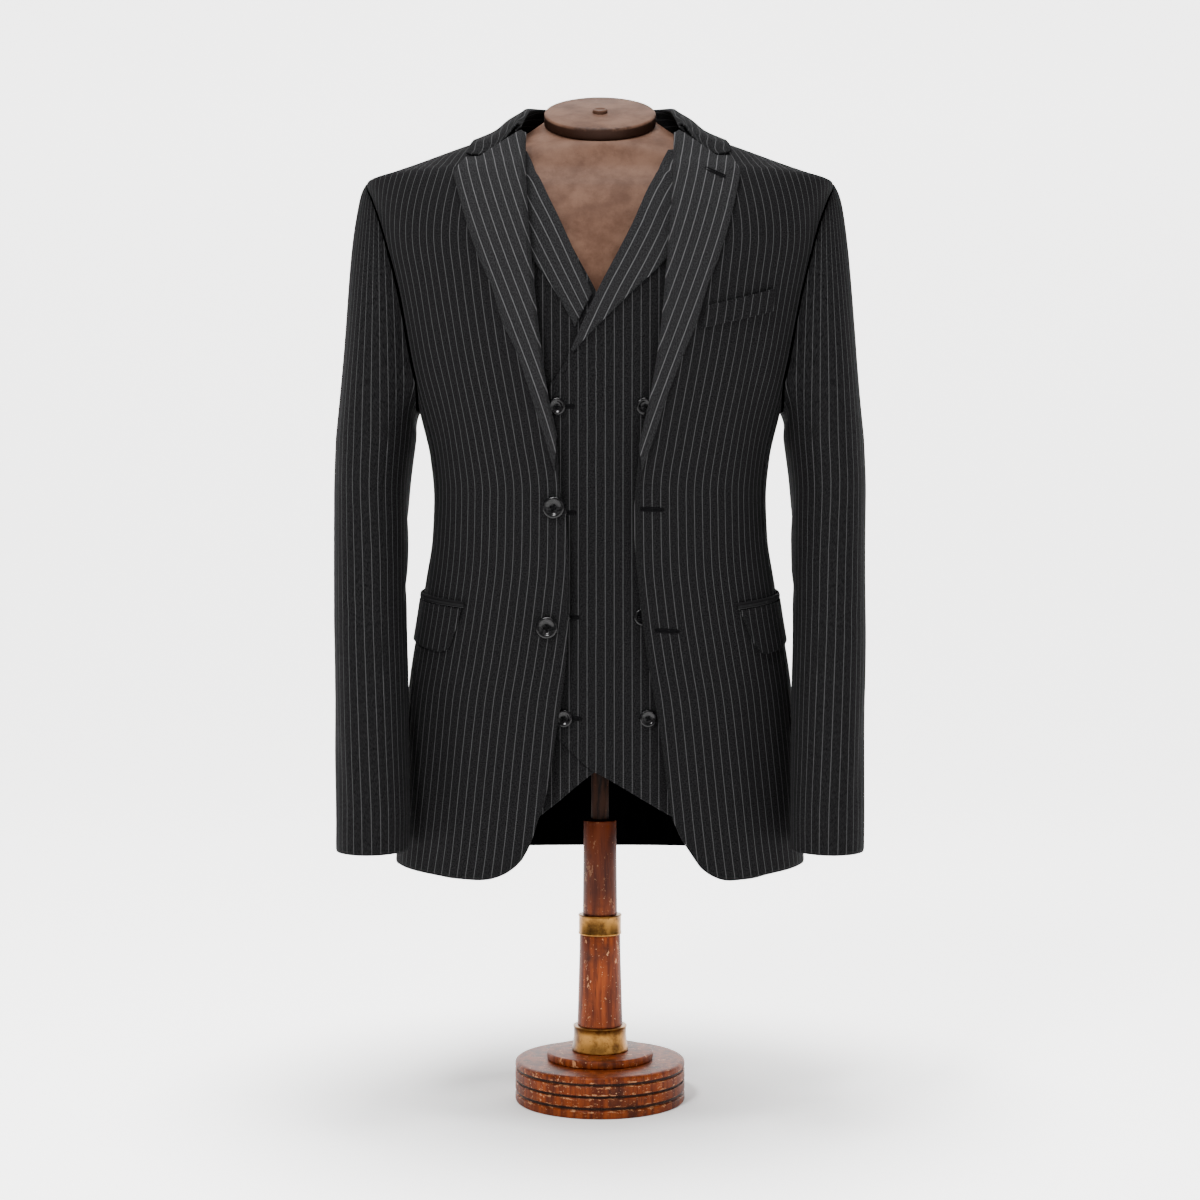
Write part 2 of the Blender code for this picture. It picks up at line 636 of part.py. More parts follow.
def sleeve_point(degrees, share):
    """The sleeve's outer face: its head from the armhole, then the tube down to the cuff."""
    degrees %= 360
    top = SLEEVE[0].height
    if share > CAP_SHARE:
        return sleeve_ring(mixed(top, SLEEVE[-1].height, (share - CAP_SHARE) / (1 - CAP_SHARE)), degrees)
    flat = from_side(armhole_mark(degrees, 1.02))
    upper = (1 + math.cos(math.radians(degrees))) / 2
    seat = mixed(UNDERARM_SEAT, SLEEVE_SEAT, upper)
    start = body_point(flat, seat)
    outward = body_point(flat, seat + 1) - start
    end = sleeve_ring(top, degrees)
    length = (end - start).length
    rise = start + outward * mixed(UNDERARM_RISE, HEAD_RISE, upper) - Vector((0, 0, START_DROP * length))
    fall = end + Vector((-HEAD_PULL * upper, 0, FALL_REACH * length))
    t = share / CAP_SHARE
    return (
        start * (1 - t) ** 3 + rise * 3 * t * (1 - t) ** 2 + fall * 3 * t**2 * (1 - t) + end * t**3
    )


def sleeve(side, suffix):
    spans = (
        ("sleeve_top_", -TOP_SLEEVE_TURN, TOP_SLEEVE_TURN, 13),
        ("sleeve_under_", TOP_SLEEVE_TURN, 360 - TOP_SLEEVE_TURN, 6),
    )
    for name, first, last, columns in spans:
        def surface(u, v, first=first, last=last):
            degrees = mixed(first, last, squeezed(u))
            point = sleeve_point(degrees, v)
            return Vector((side * point.x, point.y, point.z))

        turned = surface if side < 0 else (lambda u, v, surface=surface: surface(1 - u, v))
        free_wall(name + suffix, turned, columns, 13, JACKET_WALL, CLOTH)


def lapel_lift(share, width):
    """The roll at the fold, then the lapel lying down to its edge."""
    roll = min(width / NARROW_LAPEL, 1.0) * LAPEL_ROLL
    return LAPEL_LIFT + roll * (1 - smooth_step(share, 0.12, 0.75))


def lapel(side, suffix):
    """The turned-back lapel, drawn as seen from the front, from the roll at the front's edge."""
    roll_line = seen_path(ROLL_LINE[side][1:])
    edge = seen_path(LAPEL_EDGE[side])
    corner = Vector(NOTCH_CORNER[side]) - NOTCH_GAP
    mouth = Vector(NOTCH_MOUTH[side]) - MOUTH_GAP
    top = along((0.0, CORNER_SHARE, MOUTH_SHARE, 1.0), (roll_line(1), corner, mouth, edge(1)))
    place = patch(roll_line, edge, path([roll_line(0), edge(0)]), top)

    def point(u, v, outer):
        v = crowded(v, 0.0)
        number = round(u * (len(LAPEL_COLUMNS) - 1))
        column = LAPEL_COLUMNS[number]
        width = (edge(v) - roll_line(v)).length
        narrow = min(width / NARROW_LAPEL, 1.0) if number > 1 else 1.0
        share = column.share + column.offset * narrow / width
        seen = place(max(share, 0.0), v) + min(share, 0.0) * (edge(v) - roll_line(v))
        flat = from_front(seen, LAPEL_LIFT)
        lift = lapel_lift(max(share, 0.0), width) if number else -FOLD_SINK
        lift += LAPEL_TOP_LIFT * smooth_step(v, 0.5, 0.9)
        return body_point(sided(flat, side), lift if outer else lift - TRIM_WALL)

    wall("lapel_" + suffix, point, len(LAPEL_COLUMNS) - 1, LAPEL_ROWS, CLOTH)


def collar():
    """The collar's fall, fold and stand, one folded wall round the neck."""
    stations = columns_of(COLLAR_STATIONS, "share")

    def surface(u, v):
        share = 1 - abs(2 * u - 1)
        side = -1 if u < 0.5 else 1
        row = {name: reading(share) for name, reading in stations.items()}
        edge = Vector((ROUND * math.radians(row["edge_turn"]), row["edge_height"]))
        neck = Vector((ROUND * math.radians(row["neck_turn"]), row["neck_height"]))
        fold = Vector((row["fold_x"], row["fold_y"], row["fold_height"]))
        blend = smooth_step(share, 0.0, NOTCH_BLEND)
        corner = from_front(Vector(NOTCH_CORNER[side]) + COLLAR_GAP, LAPEL_LIFT)
        mouth = from_front(Vector(NOTCH_MOUTH[side]) + COLLAR_GAP, LAPEL_LIFT)
        low = mixed(mouth, edge, blend)
        middle = mixed(corner, mixed(edge, neck, COLLAR_MIDDLE), blend)
        high = mixed(mixed(corner, neck, GORGE_HIGH), mixed(edge, neck, COLLAR_HIGH), blend)
        away = Vector((fold.x, fold.y, 0)).normalized() * FOLD_RADIUS
        drop = Vector((0, 0, -FOLD_DROP * FOLD_RADIUS))
        points = (
            body_point(low, LAPEL_LIFT + mixed(LOW_LIFT.notch, LOW_LIFT.round, blend)),
            body_point(middle, LAPEL_LIFT + mixed(MIDDLE_LIFT.notch, MIDDLE_LIFT.round, blend)),
            body_point(high, LAPEL_LIFT + mixed(HIGH_LIFT.notch, HIGH_LIFT.round, blend)),
            fold + away + drop,
            fold,
            fold - away + drop,
            mixed(fold + STAND_END, body_point(neck - Vector((0, STAND_DROP)), 2 * TRIM_GAP), blend),
        )
        x, y, z = (spline(COLLAR_PLACES, [point[i] for point in points])(v) for i in range(3))
        return Vector((side * x, y, z))

    free_wall("collar", lambda u, v: surface(1 - u, v), 22, 8, TRIM_WALL, CLOTH)


def flap(side, suffix):
    """A hip pocket's flap and the jet above it, from its front corner round to its rear end."""
    top_front = from_front(Spot(abs(FLAP[side][0].x), FLAP[side][0].height), LAPEL_LIFT)
    low_front = from_front(Spot(abs(FLAP[side][1].x), FLAP[side][1].height), LAPEL_LIFT)
    top_rear = from_side(Mark(FLAP_REAR_Y, FLAP_REAR_TOP))
    low_rear = top_rear - Vector((0, FLAP_HEIGHT))
    corner = mixed(low_front, low_rear, FLAP_ROUNDING)
    rounded = [top_front, mixed(top_front, low_front, 1 - 1.4 * FLAP_ROUNDING), corner]
    low_edge = path([corner, low_rear])
    place = patch(path(rounded), path([top_rear, low_rear]), path([top_front, top_rear]), low_edge)
    body_wall(
        "flap_" + suffix, lambda u, v: sided(place(u, v), side), 7, 4, TRIM_WALL, CLOTH, FLAP_LIFT
    )
    jet_low = [top_front + Vector((-JET_REACH, TRIM_GAP)), top_rear + Vector((JET_REACH, TRIM_GAP))]
    jet_high = [flat + Vector((0, JET_HEIGHT)) for flat in jet_low]
    jet = patch(
        path([jet_low[0], jet_high[0]]), path([jet_low[1], jet_high[1]]), path(jet_low), path(jet_high)
    )
    body_wall(
        "flap_welt_" + suffix, lambda u, v: sided(jet(u, v), side), 7, 1, TRIM_WALL, CLOTH, FLAP_LIFT
    )


def breast_welt():
    low = [from_front(spot, LAPEL_LIFT) for spot in WELT_LOW]
    high = [from_front(spot, LAPEL_LIFT) for spot in WELT_HIGH]
    place = patch(path([low[0], high[0]]), path([low[1], high[1]]), path(low), path(high))
    body_wall("breast_welt", place, 6, 2, TRIM_WALL, CLOTH, LAPEL_LIFT)


def at_level(level):
    """The lift of a waistcoat layer, which comes closer to the jacket over the shoulders."""
    return lambda u, v, height: mixed(level.body, level.shoulder, smooth_step(height, RISE_START, RISE_END))


def vest_front(name, side, edge, hem, level):
    """A waistcoat front on the wearer's left, or on the right where side is -1."""
    lift = level.body
    shoulder = [Vector((ROUND * math.pi / 2, height)) for height in (VEST_NECK_HEIGHT, VEST_SHOULDER_HEIGHT)]
    armhole = [Vector((ROUND * math.pi / 2, VEST_SIDE_TOP))]
    armhole += [from_front(spot, lift) for spot in VEST_ARMHOLE] + [shoulder[1]]
    side_low = Vector((ROUND * math.pi / 2, VEST_SIDE_HEM))
    split = VEST_SEAM_ROWS / VEST_ROWS
    right = joined(path([side_low, armhole[0]]), path(armhole), split)
    left = path([from_front(spot, lift) for spot in edge] + [shoulder[0]])
    low = path([from_front(spot, lift) for spot in hem] + [side_low])
    place = patch(left, right, low, path(shoulder))
    body_wall(
        name, lambda u, v: sided(place(u, crowded(v, split)), side),
        10, VEST_ROWS, VEST_WALL, CLOTH, at_level(level),
    )


def vest_back():
    quarter = ROUND * math.pi / 2
    half = [Vector((quarter, VEST_SIDE_TOP))]
    half += [from_back(spot, VEST_BACK_LEVEL.body) for spot in VEST_ARMHOLE]
    half += [Vector((quarter, VEST_SHOULDER_HEIGHT))]
    split = VEST_SEAM_ROWS / VEST_ROWS
    left = joined(path([Vector((quarter, VEST_SIDE_HEM)), half[0]]), path(half), split)

    def right(t):
        flat = left(t)
        return Vector((4 * quarter - flat[0], flat[1]))

    neck = [left(1), Vector((quarter, VEST_NECK_HEIGHT)), Vector((1.5 * quarter, VEST_NAPE_HEIGHT))]
    neck += [Vector((2 * quarter, VEST_NAPE_HEIGHT))]
    neck += [Vector((4 * quarter - flat[0], flat[1])) for flat in neck[-2::-1]]
    place = patch(left, right, path([left(0), right(0)]), path(neck), VEST_NECK_HOLD)
    body_wall(
        "vest_back", lambda u, v: place(u, crowded(v, split)),
        18, VEST_ROWS, VEST_WALL, LINING, at_level(VEST_BACK_LEVEL),
    )


def vest_lapel(name, edges, level):
    inner, outer = ([from_front(spot, level.body) for spot in edge] for edge in edges)
    place = patch(
        path(inner), path(outer), path([inner[0], outer[0]]), path([inner[-1], outer[-1]])
    )
    body_wall(name, place, 4, 11, VEST_WALL, CLOTH, at_level(level))


def back_lining():
    middle = ROUND * math.pi
    reach = LINING_REACH * middle
    corners = [Vector((reach, LINING_HEM)), Vector((2 * middle - reach, LINING_HEM))]
    tops = [Vector((flat[0], LINING_TOP)) for flat in corners]
    place = patch(
        path([corners[0], tops[0]]), path([corners[1], tops[1]]), path(corners), path(tops)
    )
    body_wall("back_lining", place, 12, 5, LINING_WALL, LINING, LINING_LEVEL)


def turned(name, profile, steps, material):
    """A turned solid from its profile, top to bottom on the outside."""
    mesh = bpy.data.meshes.new(name)
    points = [(row.radius, 0.0, row.height) for row in profile]
    mesh.from_pydata(points, [(i, i + 1) for i in range(len(points) - 1)], [])
    item = keep(name, mesh, material)
    screw = item.modifiers.new("Turn", "SCREW")
    screw.steps = steps
    screw.render_steps = steps
    screw.use_merge_vertices = True
    screw.merge_threshold = 0.00001
    screw.use_smooth_shade = True
    return item


def button_mesh(name, spool, sides):
    """A dished four-hole button, its underside at zero and its face at +Z."""
    radius = spool.diameter / 2
    profile = (
        Turned(0.0, 0.72 * spool.thickness), Turned(0.58 * radius, 0.72 * spool.thickness),
        Turned(0.75 * radius, spool.thickness), Turned(radius, 0.78 * spool.thickness),
        Turned(0.86 * radius, 0.0), Turned(0.0, 0.0),
    )
    blank = turned(name + "_blank", profile, sides, BUTTON)
    holes = bmesh.new()
    for across, along in ((1, 1), (1, -1), (-1, 1), (-1, -1)):
        spread = 0.17 * radius
        place = Matrix.Translation((across * spread, along * spread, spool.thickness / 2))
        bmesh.ops.create_cone(
            holes, cap_ends=True, segments=5, radius1=0.095 * radius, radius2=0.095 * radius,
            depth=3 * spool.thickness, matrix=place,
        )
    mesh = bpy.data.meshes.new(name + "_holes")
    holes.to_mesh(mesh)
    holes.free()
    cutter = bpy.data.objects.new(name + "_holes", mesh)
    cutter.hide_render = True
    cutter.display_type = "WIRE"
    CUTTERS.objects.link(cutter)
    cut = blank.modifiers.new("Holes", "BOOLEAN")
    cut.operation = "DIFFERENCE"
    cut.object = cutter
    bpy.context.view_layer.update()
    graph = bpy.context.evaluated_depsgraph_get()
    finished = bpy.data.meshes.new_from_object(blank.evaluated_get(graph))
    finished.name = name
    bpy.data.objects.remove(blank, do_unlink=True)
    return finished


def place_button(name, mesh, spot, lift, tilt=0.0):
    """A button on the body sections at a spot seen from the front."""
    flat = from_front(spot, lift)
    seat = body_point(flat, lift)
    normal = (body_point(flat, lift + 1) - seat).normalized()
    turn = normal.to_track_quat("Z", "Y").to_matrix().to_4x4()
    matrix = Matrix.Translation(seat) @ turn @ Matrix.Rotation(tilt, 4, "Y")
    keep(name, mesh, BUTTON, matrix)


def buttons():
    large = button_mesh("jacket_button", JACKET_BUTTON, 18)
    small = button_mesh("vest_button", VEST_BUTTON, 12)
    for number, spot in enumerate(JACKET_BUTTON_SPOTS, 1):
        place_button("jacket_button_%d" % number, large, spot, BUTTON_GAP)
    number = 0
    for column in VEST_BUTTON_COLUMNS:
        for x, height in zip(column, VEST_BUTTON_ROWS):
            number += 1
            place_button("vest_button_%d" % number, small, Spot(x, height), OVER_FRONT.body + BUTTON_GAP)


def form_ring(ring, turn):
    """A place on a torso ring, whose height differs at the front, side and back."""
    end = ring.front if math.cos(turn) > 0 else ring.back
    height = mixed(ring.side, end, math.cos(turn) ** 2)
    level = mixed(FORM_LEVEL.body, FORM_LEVEL.shoulder, smooth_step(height, FORM_RISE_START, RISE_END))
    point = body_point(Vector((ROUND * turn, height)), level)
    if ring is FORM_RINGS[0]:
        point.z = ring.side
    return point


def neck_ring(ring, turn):
    x = ring.half_width * math.sin(turn)
    forward = ring.half_depth * math.cos(turn)
    y = ring.y - forward * math.cos(ring.tilt)
    return Vector((x, y, ring.height - forward * math.sin(ring.tilt)))


def form_torso():
    """The limbless torso, lofted from its hip up to the tilted neck."""
    turns = [2 * math.pi * i / FORM_SIDES for i in range(FORM_SIDES)]
    shape = bmesh.new()
    rings = [[shape.verts.new(form_ring(ring, turn)) for turn in turns] for ring in FORM_RINGS]
    rings += [[shape.verts.new(neck_ring(ring, turn)) for turn in turns] for ring in NECK_RINGS]
    for low, high in zip(rings, rings[1:]):
        for i in range(FORM_SIDES):
            j = (i + 1) % FORM_SIDES
            shape.faces.new((low[i], low[j], high[j], high[i]))
    shape.faces.new(rings[0][::-1])
    shape.faces.new(rings[-1])
    bmesh.ops.recalc_face_normals(shape, faces=shape.faces[:])
    mesh = bpy.data.meshes.new("form_torso")
    shape.to_mesh(mesh)
    shape.free()
    mesh.shade_smooth()
    mesh.set_sharp_from_angle(angle=math.radians(50))
    keep("form_torso", mesh, FORM)


def neck_parts():
    """The wooden cap on the neck's tilted cut, and the plug in its middle."""
    tilt = Matrix.Translation(CAP_CENTRE) @ Matrix.Rotation(NECK_TILT, 4, "X")
    for name, half_width, half_depth, low, high, sides in (
        ("neck_cap", CAP_HALF_WIDTH, CAP_HALF_DEPTH, SEAT - CAP_THICKNESS, 0.0, 28),
        ("neck_plug", PLUG_RADIUS, PLUG_RADIUS, SEAT, SEAT + PLUG_HEIGHT, 12),
    ):
        shape = bmesh.new()
        bmesh.ops.create_cone(
            shape, cap_ends=True, segments=sides, radius1=1.0, radius2=1.0, depth=high - low,
            matrix=Matrix.Translation((0, 0, (low + high) / 2)),
        )
        bmesh.ops.scale(shape, vec=(half_width, half_depth, 1.0), verts=shape.verts)
        rims = [edge for edge in shape.edges if abs(edge.verts[0].co.z - edge.verts[1].co.z) < STEP]
        bmesh.ops.bevel(shape, geom=rims, offset=0.0012, segments=1, affect="EDGES")
        mesh = bpy.data.meshes.new(name)
        shape.to_mesh(mesh)
        shape.free()
        mesh.shade_smooth()
        mesh.set_sharp_from_angle(angle=math.radians(40))
        keep(name, mesh, WOOD, tilt)


def stand():
    for name, profile, steps, material in (
        ("base", BASE_PROFILE, 28, WOOD),
        ("disc", DISC_PROFILE, 28, WOOD),
        ("collar_lower", COLLAR_LOWER_PROFILE, 24, BRASS),
        ("column_lower", COLUMN_LOWER_PROFILE, 24, WOOD),
        ("ring_upper", RING_UPPER_PROFILE, 24, BRASS),
        ("column_upper", COLUMN_UPPER_PROFILE, 24, WOOD),
        ("post", POST_PROFILE, 20, POST),
    ):
        turned(name, profile, steps, material)


def jacket():
    for side, suffix in ((1, "left"), (-1, "right")):
        jacket_front(side, suffix)
        jacket_side(side, suffix)
        jacket_back(side, suffix)
        sleeve(side, suffix)
        lapel(side, suffix)
        flap(side, suffix)
    collar()
    breast_welt()
    back_lining()


def waistcoat():
    """Both fronts are drawn on the left, so the right one's tables turn over first."""
    under_edge = [Spot(spot.x - 2 * V_MIDDLE, spot.height) for spot in VEST_EDGE]
    under_hem = [Spot(-spot.x, spot.height) for spot in UNDER_HEM]
    vest_front("vest_front_left", 1, VEST_EDGE, OVER_HEM, OVER_FRONT)
    vest_front("vest_front_right", -1, under_edge, under_hem, UNDER_FRONT)
    vest_back()
    vest_lapel("vest_lapel_left", OVER_LAPEL_EDGES, OVER_LAPEL)
    vest_lapel("vest_lapel_right", UNDER_LAPEL_EDGES, UNDER_LAPEL)


for old in list(bpy.data.objects):
    bpy.data.objects.remove(old, do_unlink=True)
SUIT = new_collection("suit_on_dress_form")
CUTTERS = new_collection("cutters")
CLOTH = make_material("pinstripe_cloth", (0.018, 0.018, 0.020), 0.85)
LINING = make_material("black_lining", (0.006, 0.006, 0.007), 0.45)
BUTTON = make_material("black_horn", (0.015, 0.014, 0.014), 0.25)
FORM = make_material("brown_form_cover", (0.120, 0.055, 0.035), 0.70)
WOOD = make_material("varnished_wood", (0.230, 0.070, 0.030), 0.40)
BRASS = make_material("aged_brass", (0.420, 0.260, 0.090), 0.40, 0.9)
POST = make_material("dark_post", (0.060, 0.030, 0.020), 0.55, 0.3)

jacket()
waistcoat()
buttons()
form_torso()
neck_parts()
stand()
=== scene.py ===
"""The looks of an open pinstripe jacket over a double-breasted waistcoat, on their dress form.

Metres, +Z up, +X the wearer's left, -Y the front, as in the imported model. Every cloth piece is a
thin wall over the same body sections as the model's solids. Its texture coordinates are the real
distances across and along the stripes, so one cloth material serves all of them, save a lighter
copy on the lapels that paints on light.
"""

import math
from collections import namedtuple

import bmesh
import bpy
import numpy as np
from mathutils import Matrix, Vector


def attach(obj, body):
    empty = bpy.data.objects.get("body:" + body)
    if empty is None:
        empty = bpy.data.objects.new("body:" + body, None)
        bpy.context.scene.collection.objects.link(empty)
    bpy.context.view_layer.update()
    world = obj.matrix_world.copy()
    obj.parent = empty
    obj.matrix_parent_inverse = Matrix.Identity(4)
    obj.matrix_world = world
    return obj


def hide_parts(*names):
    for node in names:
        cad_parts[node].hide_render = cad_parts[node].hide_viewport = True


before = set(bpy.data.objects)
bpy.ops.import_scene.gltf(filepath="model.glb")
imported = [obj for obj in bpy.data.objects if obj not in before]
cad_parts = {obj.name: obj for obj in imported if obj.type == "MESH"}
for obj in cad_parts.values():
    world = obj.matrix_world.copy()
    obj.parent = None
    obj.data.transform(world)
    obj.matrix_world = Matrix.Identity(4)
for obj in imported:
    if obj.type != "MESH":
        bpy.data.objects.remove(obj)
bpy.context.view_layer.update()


def table(kind, *rows):
    """The rows of a table whose numbers are all in millimetres."""
    return tuple(kind(*(value / 1000 for value in row)) for row in rows)


PHOTO_DISTANCE = 2.0
PHOTO_HEIGHT = 0.498
PHOTO_LENS = 60.0

ROUND = 0.17
POWER = 2.3
STEP = 0.0005
JACKET_WALL = 0.0020
VEST_WALL = 0.0016
TRIM_WALL = 0.0018
LINING_WALL = 0.0010
TRIM_GAP = 0.0008
BUTTON_GAP = 0.0003
LAPEL_LIFT = TRIM_GAP + TRIM_WALL
FLAP_LIFT = LAPEL_LIFT + 0.0004

Section = namedtuple("Section", "height half_width front back")
SECTIONS = table(
    Section, (225, 204, 126, 124), (300, 200, 124, 121), (350, 196.5, 122, 117), (400, 192, 120, 112),
    (440, 187, 118, 107), (480, 180, 116, 102), (520, 173.5, 115, 98), (560, 167.5, 114, 96),
    (600, 166, 115, 97), (640, 169.5, 118, 101), (680, 178.5, 122, 107), (720, 188.5, 125, 113),
    (760, 196.5, 126, 117), (800, 204.5, 124, 119), (840, 213.5, 119, 118), (870, 220.5, 112, 114),
    (895, 227.5, 102, 108), (912, 232.5, 93, 100), (920, 211, 86, 94), (928, 188, 81, 89),
    (942, 150, 73, 81), (954, 116.5, 66, 75), (964, 97, 60, 71), (976, 82.5, 55, 66), (992, 76, 50, 60),
)

Spot = namedtuple("Spot", "x height")
Mark = namedtuple("Mark", "y height")
FRONT_EDGE = {
    1: table(
        Spot, (89.5, 253.2), (75.2, 276), (67.7, 295.9), (56.5, 375.7), (45.2, 441.5), (37.7, 498),
        (34, 535.7), (32.1, 573.5), (33.9, 604.6),
    ),
    -1: table(
        Spot, (73.3, 253.6), (65.8, 267.8), (58.2, 291.3), (51.7, 310.1), (41.4, 371.1), (32, 441.5),
        (29.2, 498), (32.1, 573.5), (37.7, 601.8),
    ),
}
ROLL_LINE = {
    1: table(
        Spot, (33.9, 604.6), (37.7, 639.3), (48.9, 686), (60.1, 751.5), (67.8, 827.6), (72, 876.8),
        (75.1, 931.1), (76.5, 950),
    ),
    -1: table(
        Spot, (37.7, 601.8), (41.4, 648.7), (51.7, 695.4), (60.1, 751.5), (68.7, 827.6), (72.9, 876.8),
        (76, 931.2), (76.5, 950),
    ),
}
FRONT_HEM = {
    1: table(
        Spot, (89.5, 253.2), (95.2, 245.5), (105.7, 237.5), (115.3, 233.4), (123.1, 232), (142.7, 232.6),
        (162.8, 235.5),
    ),
    -1: table(
        Spot, (73.3, 253.6), (80.9, 245.9), (93.3, 238), (106.6, 233.8), (118.2, 232.8), (137.7, 233.2),
        (157.7, 235),
    ),
}
LAPEL_EDGE = {
    1: table(
        Spot, (40, 620), (53, 656), (64, 690), (81, 733), (92.5, 760.6), (102, 793.1), (113, 821.4),
        (124, 857), (135.7, 906.4),
    ),
    -1: table(
        Spot, (43, 618), (53, 652), (61.1, 676.7), (79.9, 733), (93.2, 760.6), (102.8, 793.1),
        (115.4, 821.4), (127.7, 857), (141.8, 906.2),
    ),
}
NOTCH_CORNER = {1: Spot(0.1130, 0.9245), -1: Spot(0.1165, 0.9238)}
NOTCH_MOUTH = {1: Spot(0.1270, 0.9290), -1: Spot(0.1305, 0.9272)}
NOTCH_GAP = np.array((0.0, 0.0006))
MOUTH_GAP = np.array((0.0, 0.0042))
COLLAR_GAP = np.array((0.0006, 0.0014))
CORNER_SHARE = 0.62
MOUTH_SHARE = 0.82
NARROW_LAPEL = 0.030
LAPEL_ROLL = 0.0026
LAPEL_TOP_LIFT = 0.0008
FOLD_SINK = 0.0004

FRONT_SEAM = table(Mark, (-40, 239), (-42, 350), (-38, 500), (-38, 600), (-41, 680))
BACK_SEAM = table(Mark, (60, 239), (58, 350), (50, 500), (48, 600), (54, 680))
HEM_BACK = 0.2380
NECK_POINT_HEIGHT = 0.976
NAPE_HEIGHT = 0.972
NECK_HOLD = 6
VEST_NECK_HOLD = 10

Turn = namedtuple("Turn", "degrees y height")
ARMHOLE = (
    Turn(0, 0.004, 0.9125), Turn(18, -0.012, 0.902), Turn(36, -0.024, 0.878),
    Turn(54, -0.033, 0.848), Turn(72, -0.039, 0.815), Turn(90, -0.042, 0.780),
    Turn(112, -0.042, 0.745), Turn(135, -0.043, 0.715), Turn(150, -0.036, 0.701),
    Turn(163, -0.022, 0.692), Turn(180, 0.000, 0.688), Turn(200, 0.022, 0.691),
    Turn(218, 0.042, 0.703), Turn(235, 0.058, 0.722), Turn(252, 0.064, 0.750),
    Turn(270, 0.068, 0.790), Turn(288, 0.067, 0.830), Turn(306, 0.060, 0.865),
    Turn(325, 0.045, 0.892), Turn(343, 0.026, 0.907), Turn(360, 0.004, 0.9125),
)
UNDERARM_FRONT = 135
UNDERARM_BACK = 235
SEAM_SHARE_FRONT = 9 / 18
SEAM_SHARE_BACK = 9 / 17
SEAM_SHARE_VEST = 8 / 16
CROWDING = 1.35

Ring = namedtuple("Ring", "height x y half_width half_depth")
SLEEVE = table(
    Ring, (660, 224, 6, 40, 72), (600, 227.5, -2, 37.5, 67), (540, 226.4, -18, 36.6, 62),
    (480, 224.6, -38, 35.7, 59), (420, 221.8, -58, 35.5, 56.5), (360, 219.1, -76, 35.3, 54),
    (300, 216.6, -92, 35.3, 51.5), (261.5, 215.8, -102, 34.3, 50),
)
SLEEVE_SEAT = 0.0012
UNDERARM_SEAT = 0.0026
HEAD_RISE = 0.016
UNDERARM_RISE = 0.004
START_DROP = 0.03
HEAD_PULL = 0.012
FALL_REACH = 0.45
CAP_SHARE = 0.42
TOP_SLEEVE_TURN = 118
SEAM_DEGREES = -0.1

Level = namedtuple("Level", "body shoulder")
OVER_FRONT = Level(-0.0110, -0.0044)
UNDER_FRONT = Level(-0.0140, -0.0044)
VEST_BACK_LEVEL = Level(-0.0110, -0.0044)
OVER_LAPEL = Level(-0.0084, -0.0018)
UNDER_LAPEL = Level(-0.0114, -0.0020)
FORM_LEVEL = Level(-0.0194, -0.0092)
LINING_LEVEL = -0.0033
RISE_START = 0.900
RISE_END = 0.965
FORM_RISE_START = 0.922

VEST_EDGE = table(
    Spot, (-41.1, 370.3), (-44.6, 479), (-46.5, 593), (-48.2, 690.9), (-33, 719.7), (-17.9, 755.3),
    (-2.8, 789.4), (30.3, 858.3), (44, 893.6), (49.8, 905.7), (54.9, 918), (59, 927), (63, 936),
)
V_MIDDLE = -0.0028
OVER_HEM = table(
    Spot, (-41.1, 370.3), (-4.7, 335.6), (10.4, 327.1), (67.1, 292.8), (88, 283), (105, 293), (135, 324),
)
UNDER_HEM = table(
    Spot, (35.5, 370.3), (-7.6, 333.5), (-53.9, 294.6), (-74, 283), (-93, 293), (-130, 324),
)
VEST_SIDE_HEM = 0.345
VEST_SIDE_TOP = 0.665
VEST_ARMHOLE = table(Spot, (160, 695), (146, 750), (140, 810), (138, 860), (137, 905))
VEST_SHOULDER_HEIGHT = 0.940
VEST_NECK_HEIGHT = 0.974
VEST_NAPE_HEIGHT = 0.964
OVER_LAPEL_EDGES = (
    table(
        Spot, (-27, 733), (-17.9, 755.3), (-2.8, 789.4), (30.3, 858.3), (44, 893.6), (49.8, 905.7),
        (54.9, 918), (59, 927), (63, 936),
    ),
    table(
        Spot, (-23.5, 733), (-12.5, 745.5), (23.6, 783.5), (62.4, 823.3), (85.6, 864), (92.5, 905),
        (91.2, 918), (89.5, 927), (86, 936),
    ),
)
UNDER_LAPEL_EDGES = (
    table(
        Spot, (-7, 788), (-35.1, 858.4), (-49.7, 893.6), (-54.5, 905.7), (-59.7, 918), (-63.2, 927),
        (-66.9, 936),
    ),
    table(
        Spot, (-22.5, 756), (-42.5, 792.5), (-68.2, 832.5), (-85.7, 864.4), (-92.5, 905), (-91.3, 918),
        (-89.8, 927), (-87, 936),
    ),
)
LINING_HEM = HEM_BACK + 0.004
LINING_TOP = 0.420
LINING_REACH = 0.68

FLAP = {
    1: table(Spot, (134.5, 488), (156, 444)),
    -1: table(Spot, (-133, 489.4), (-148.5, 446.4)),
}
FLAP_HEIGHT = 0.038
FLAP_REAR_Y = 0.030
FLAP_REAR_TOP = 0.505
FLAP_ROUNDING = 0.07
JET_HEIGHT = 0.006
JET_REACH = 0.002
JET_ROUNDING = 0.0006
FLAP_CLING = 0.0006
WELT_LOW = table(Spot, (96.5, 754), (167.5, 775.5))
WELT_HIGH = table(Spot, (101.5, 775.5), (169, 797))

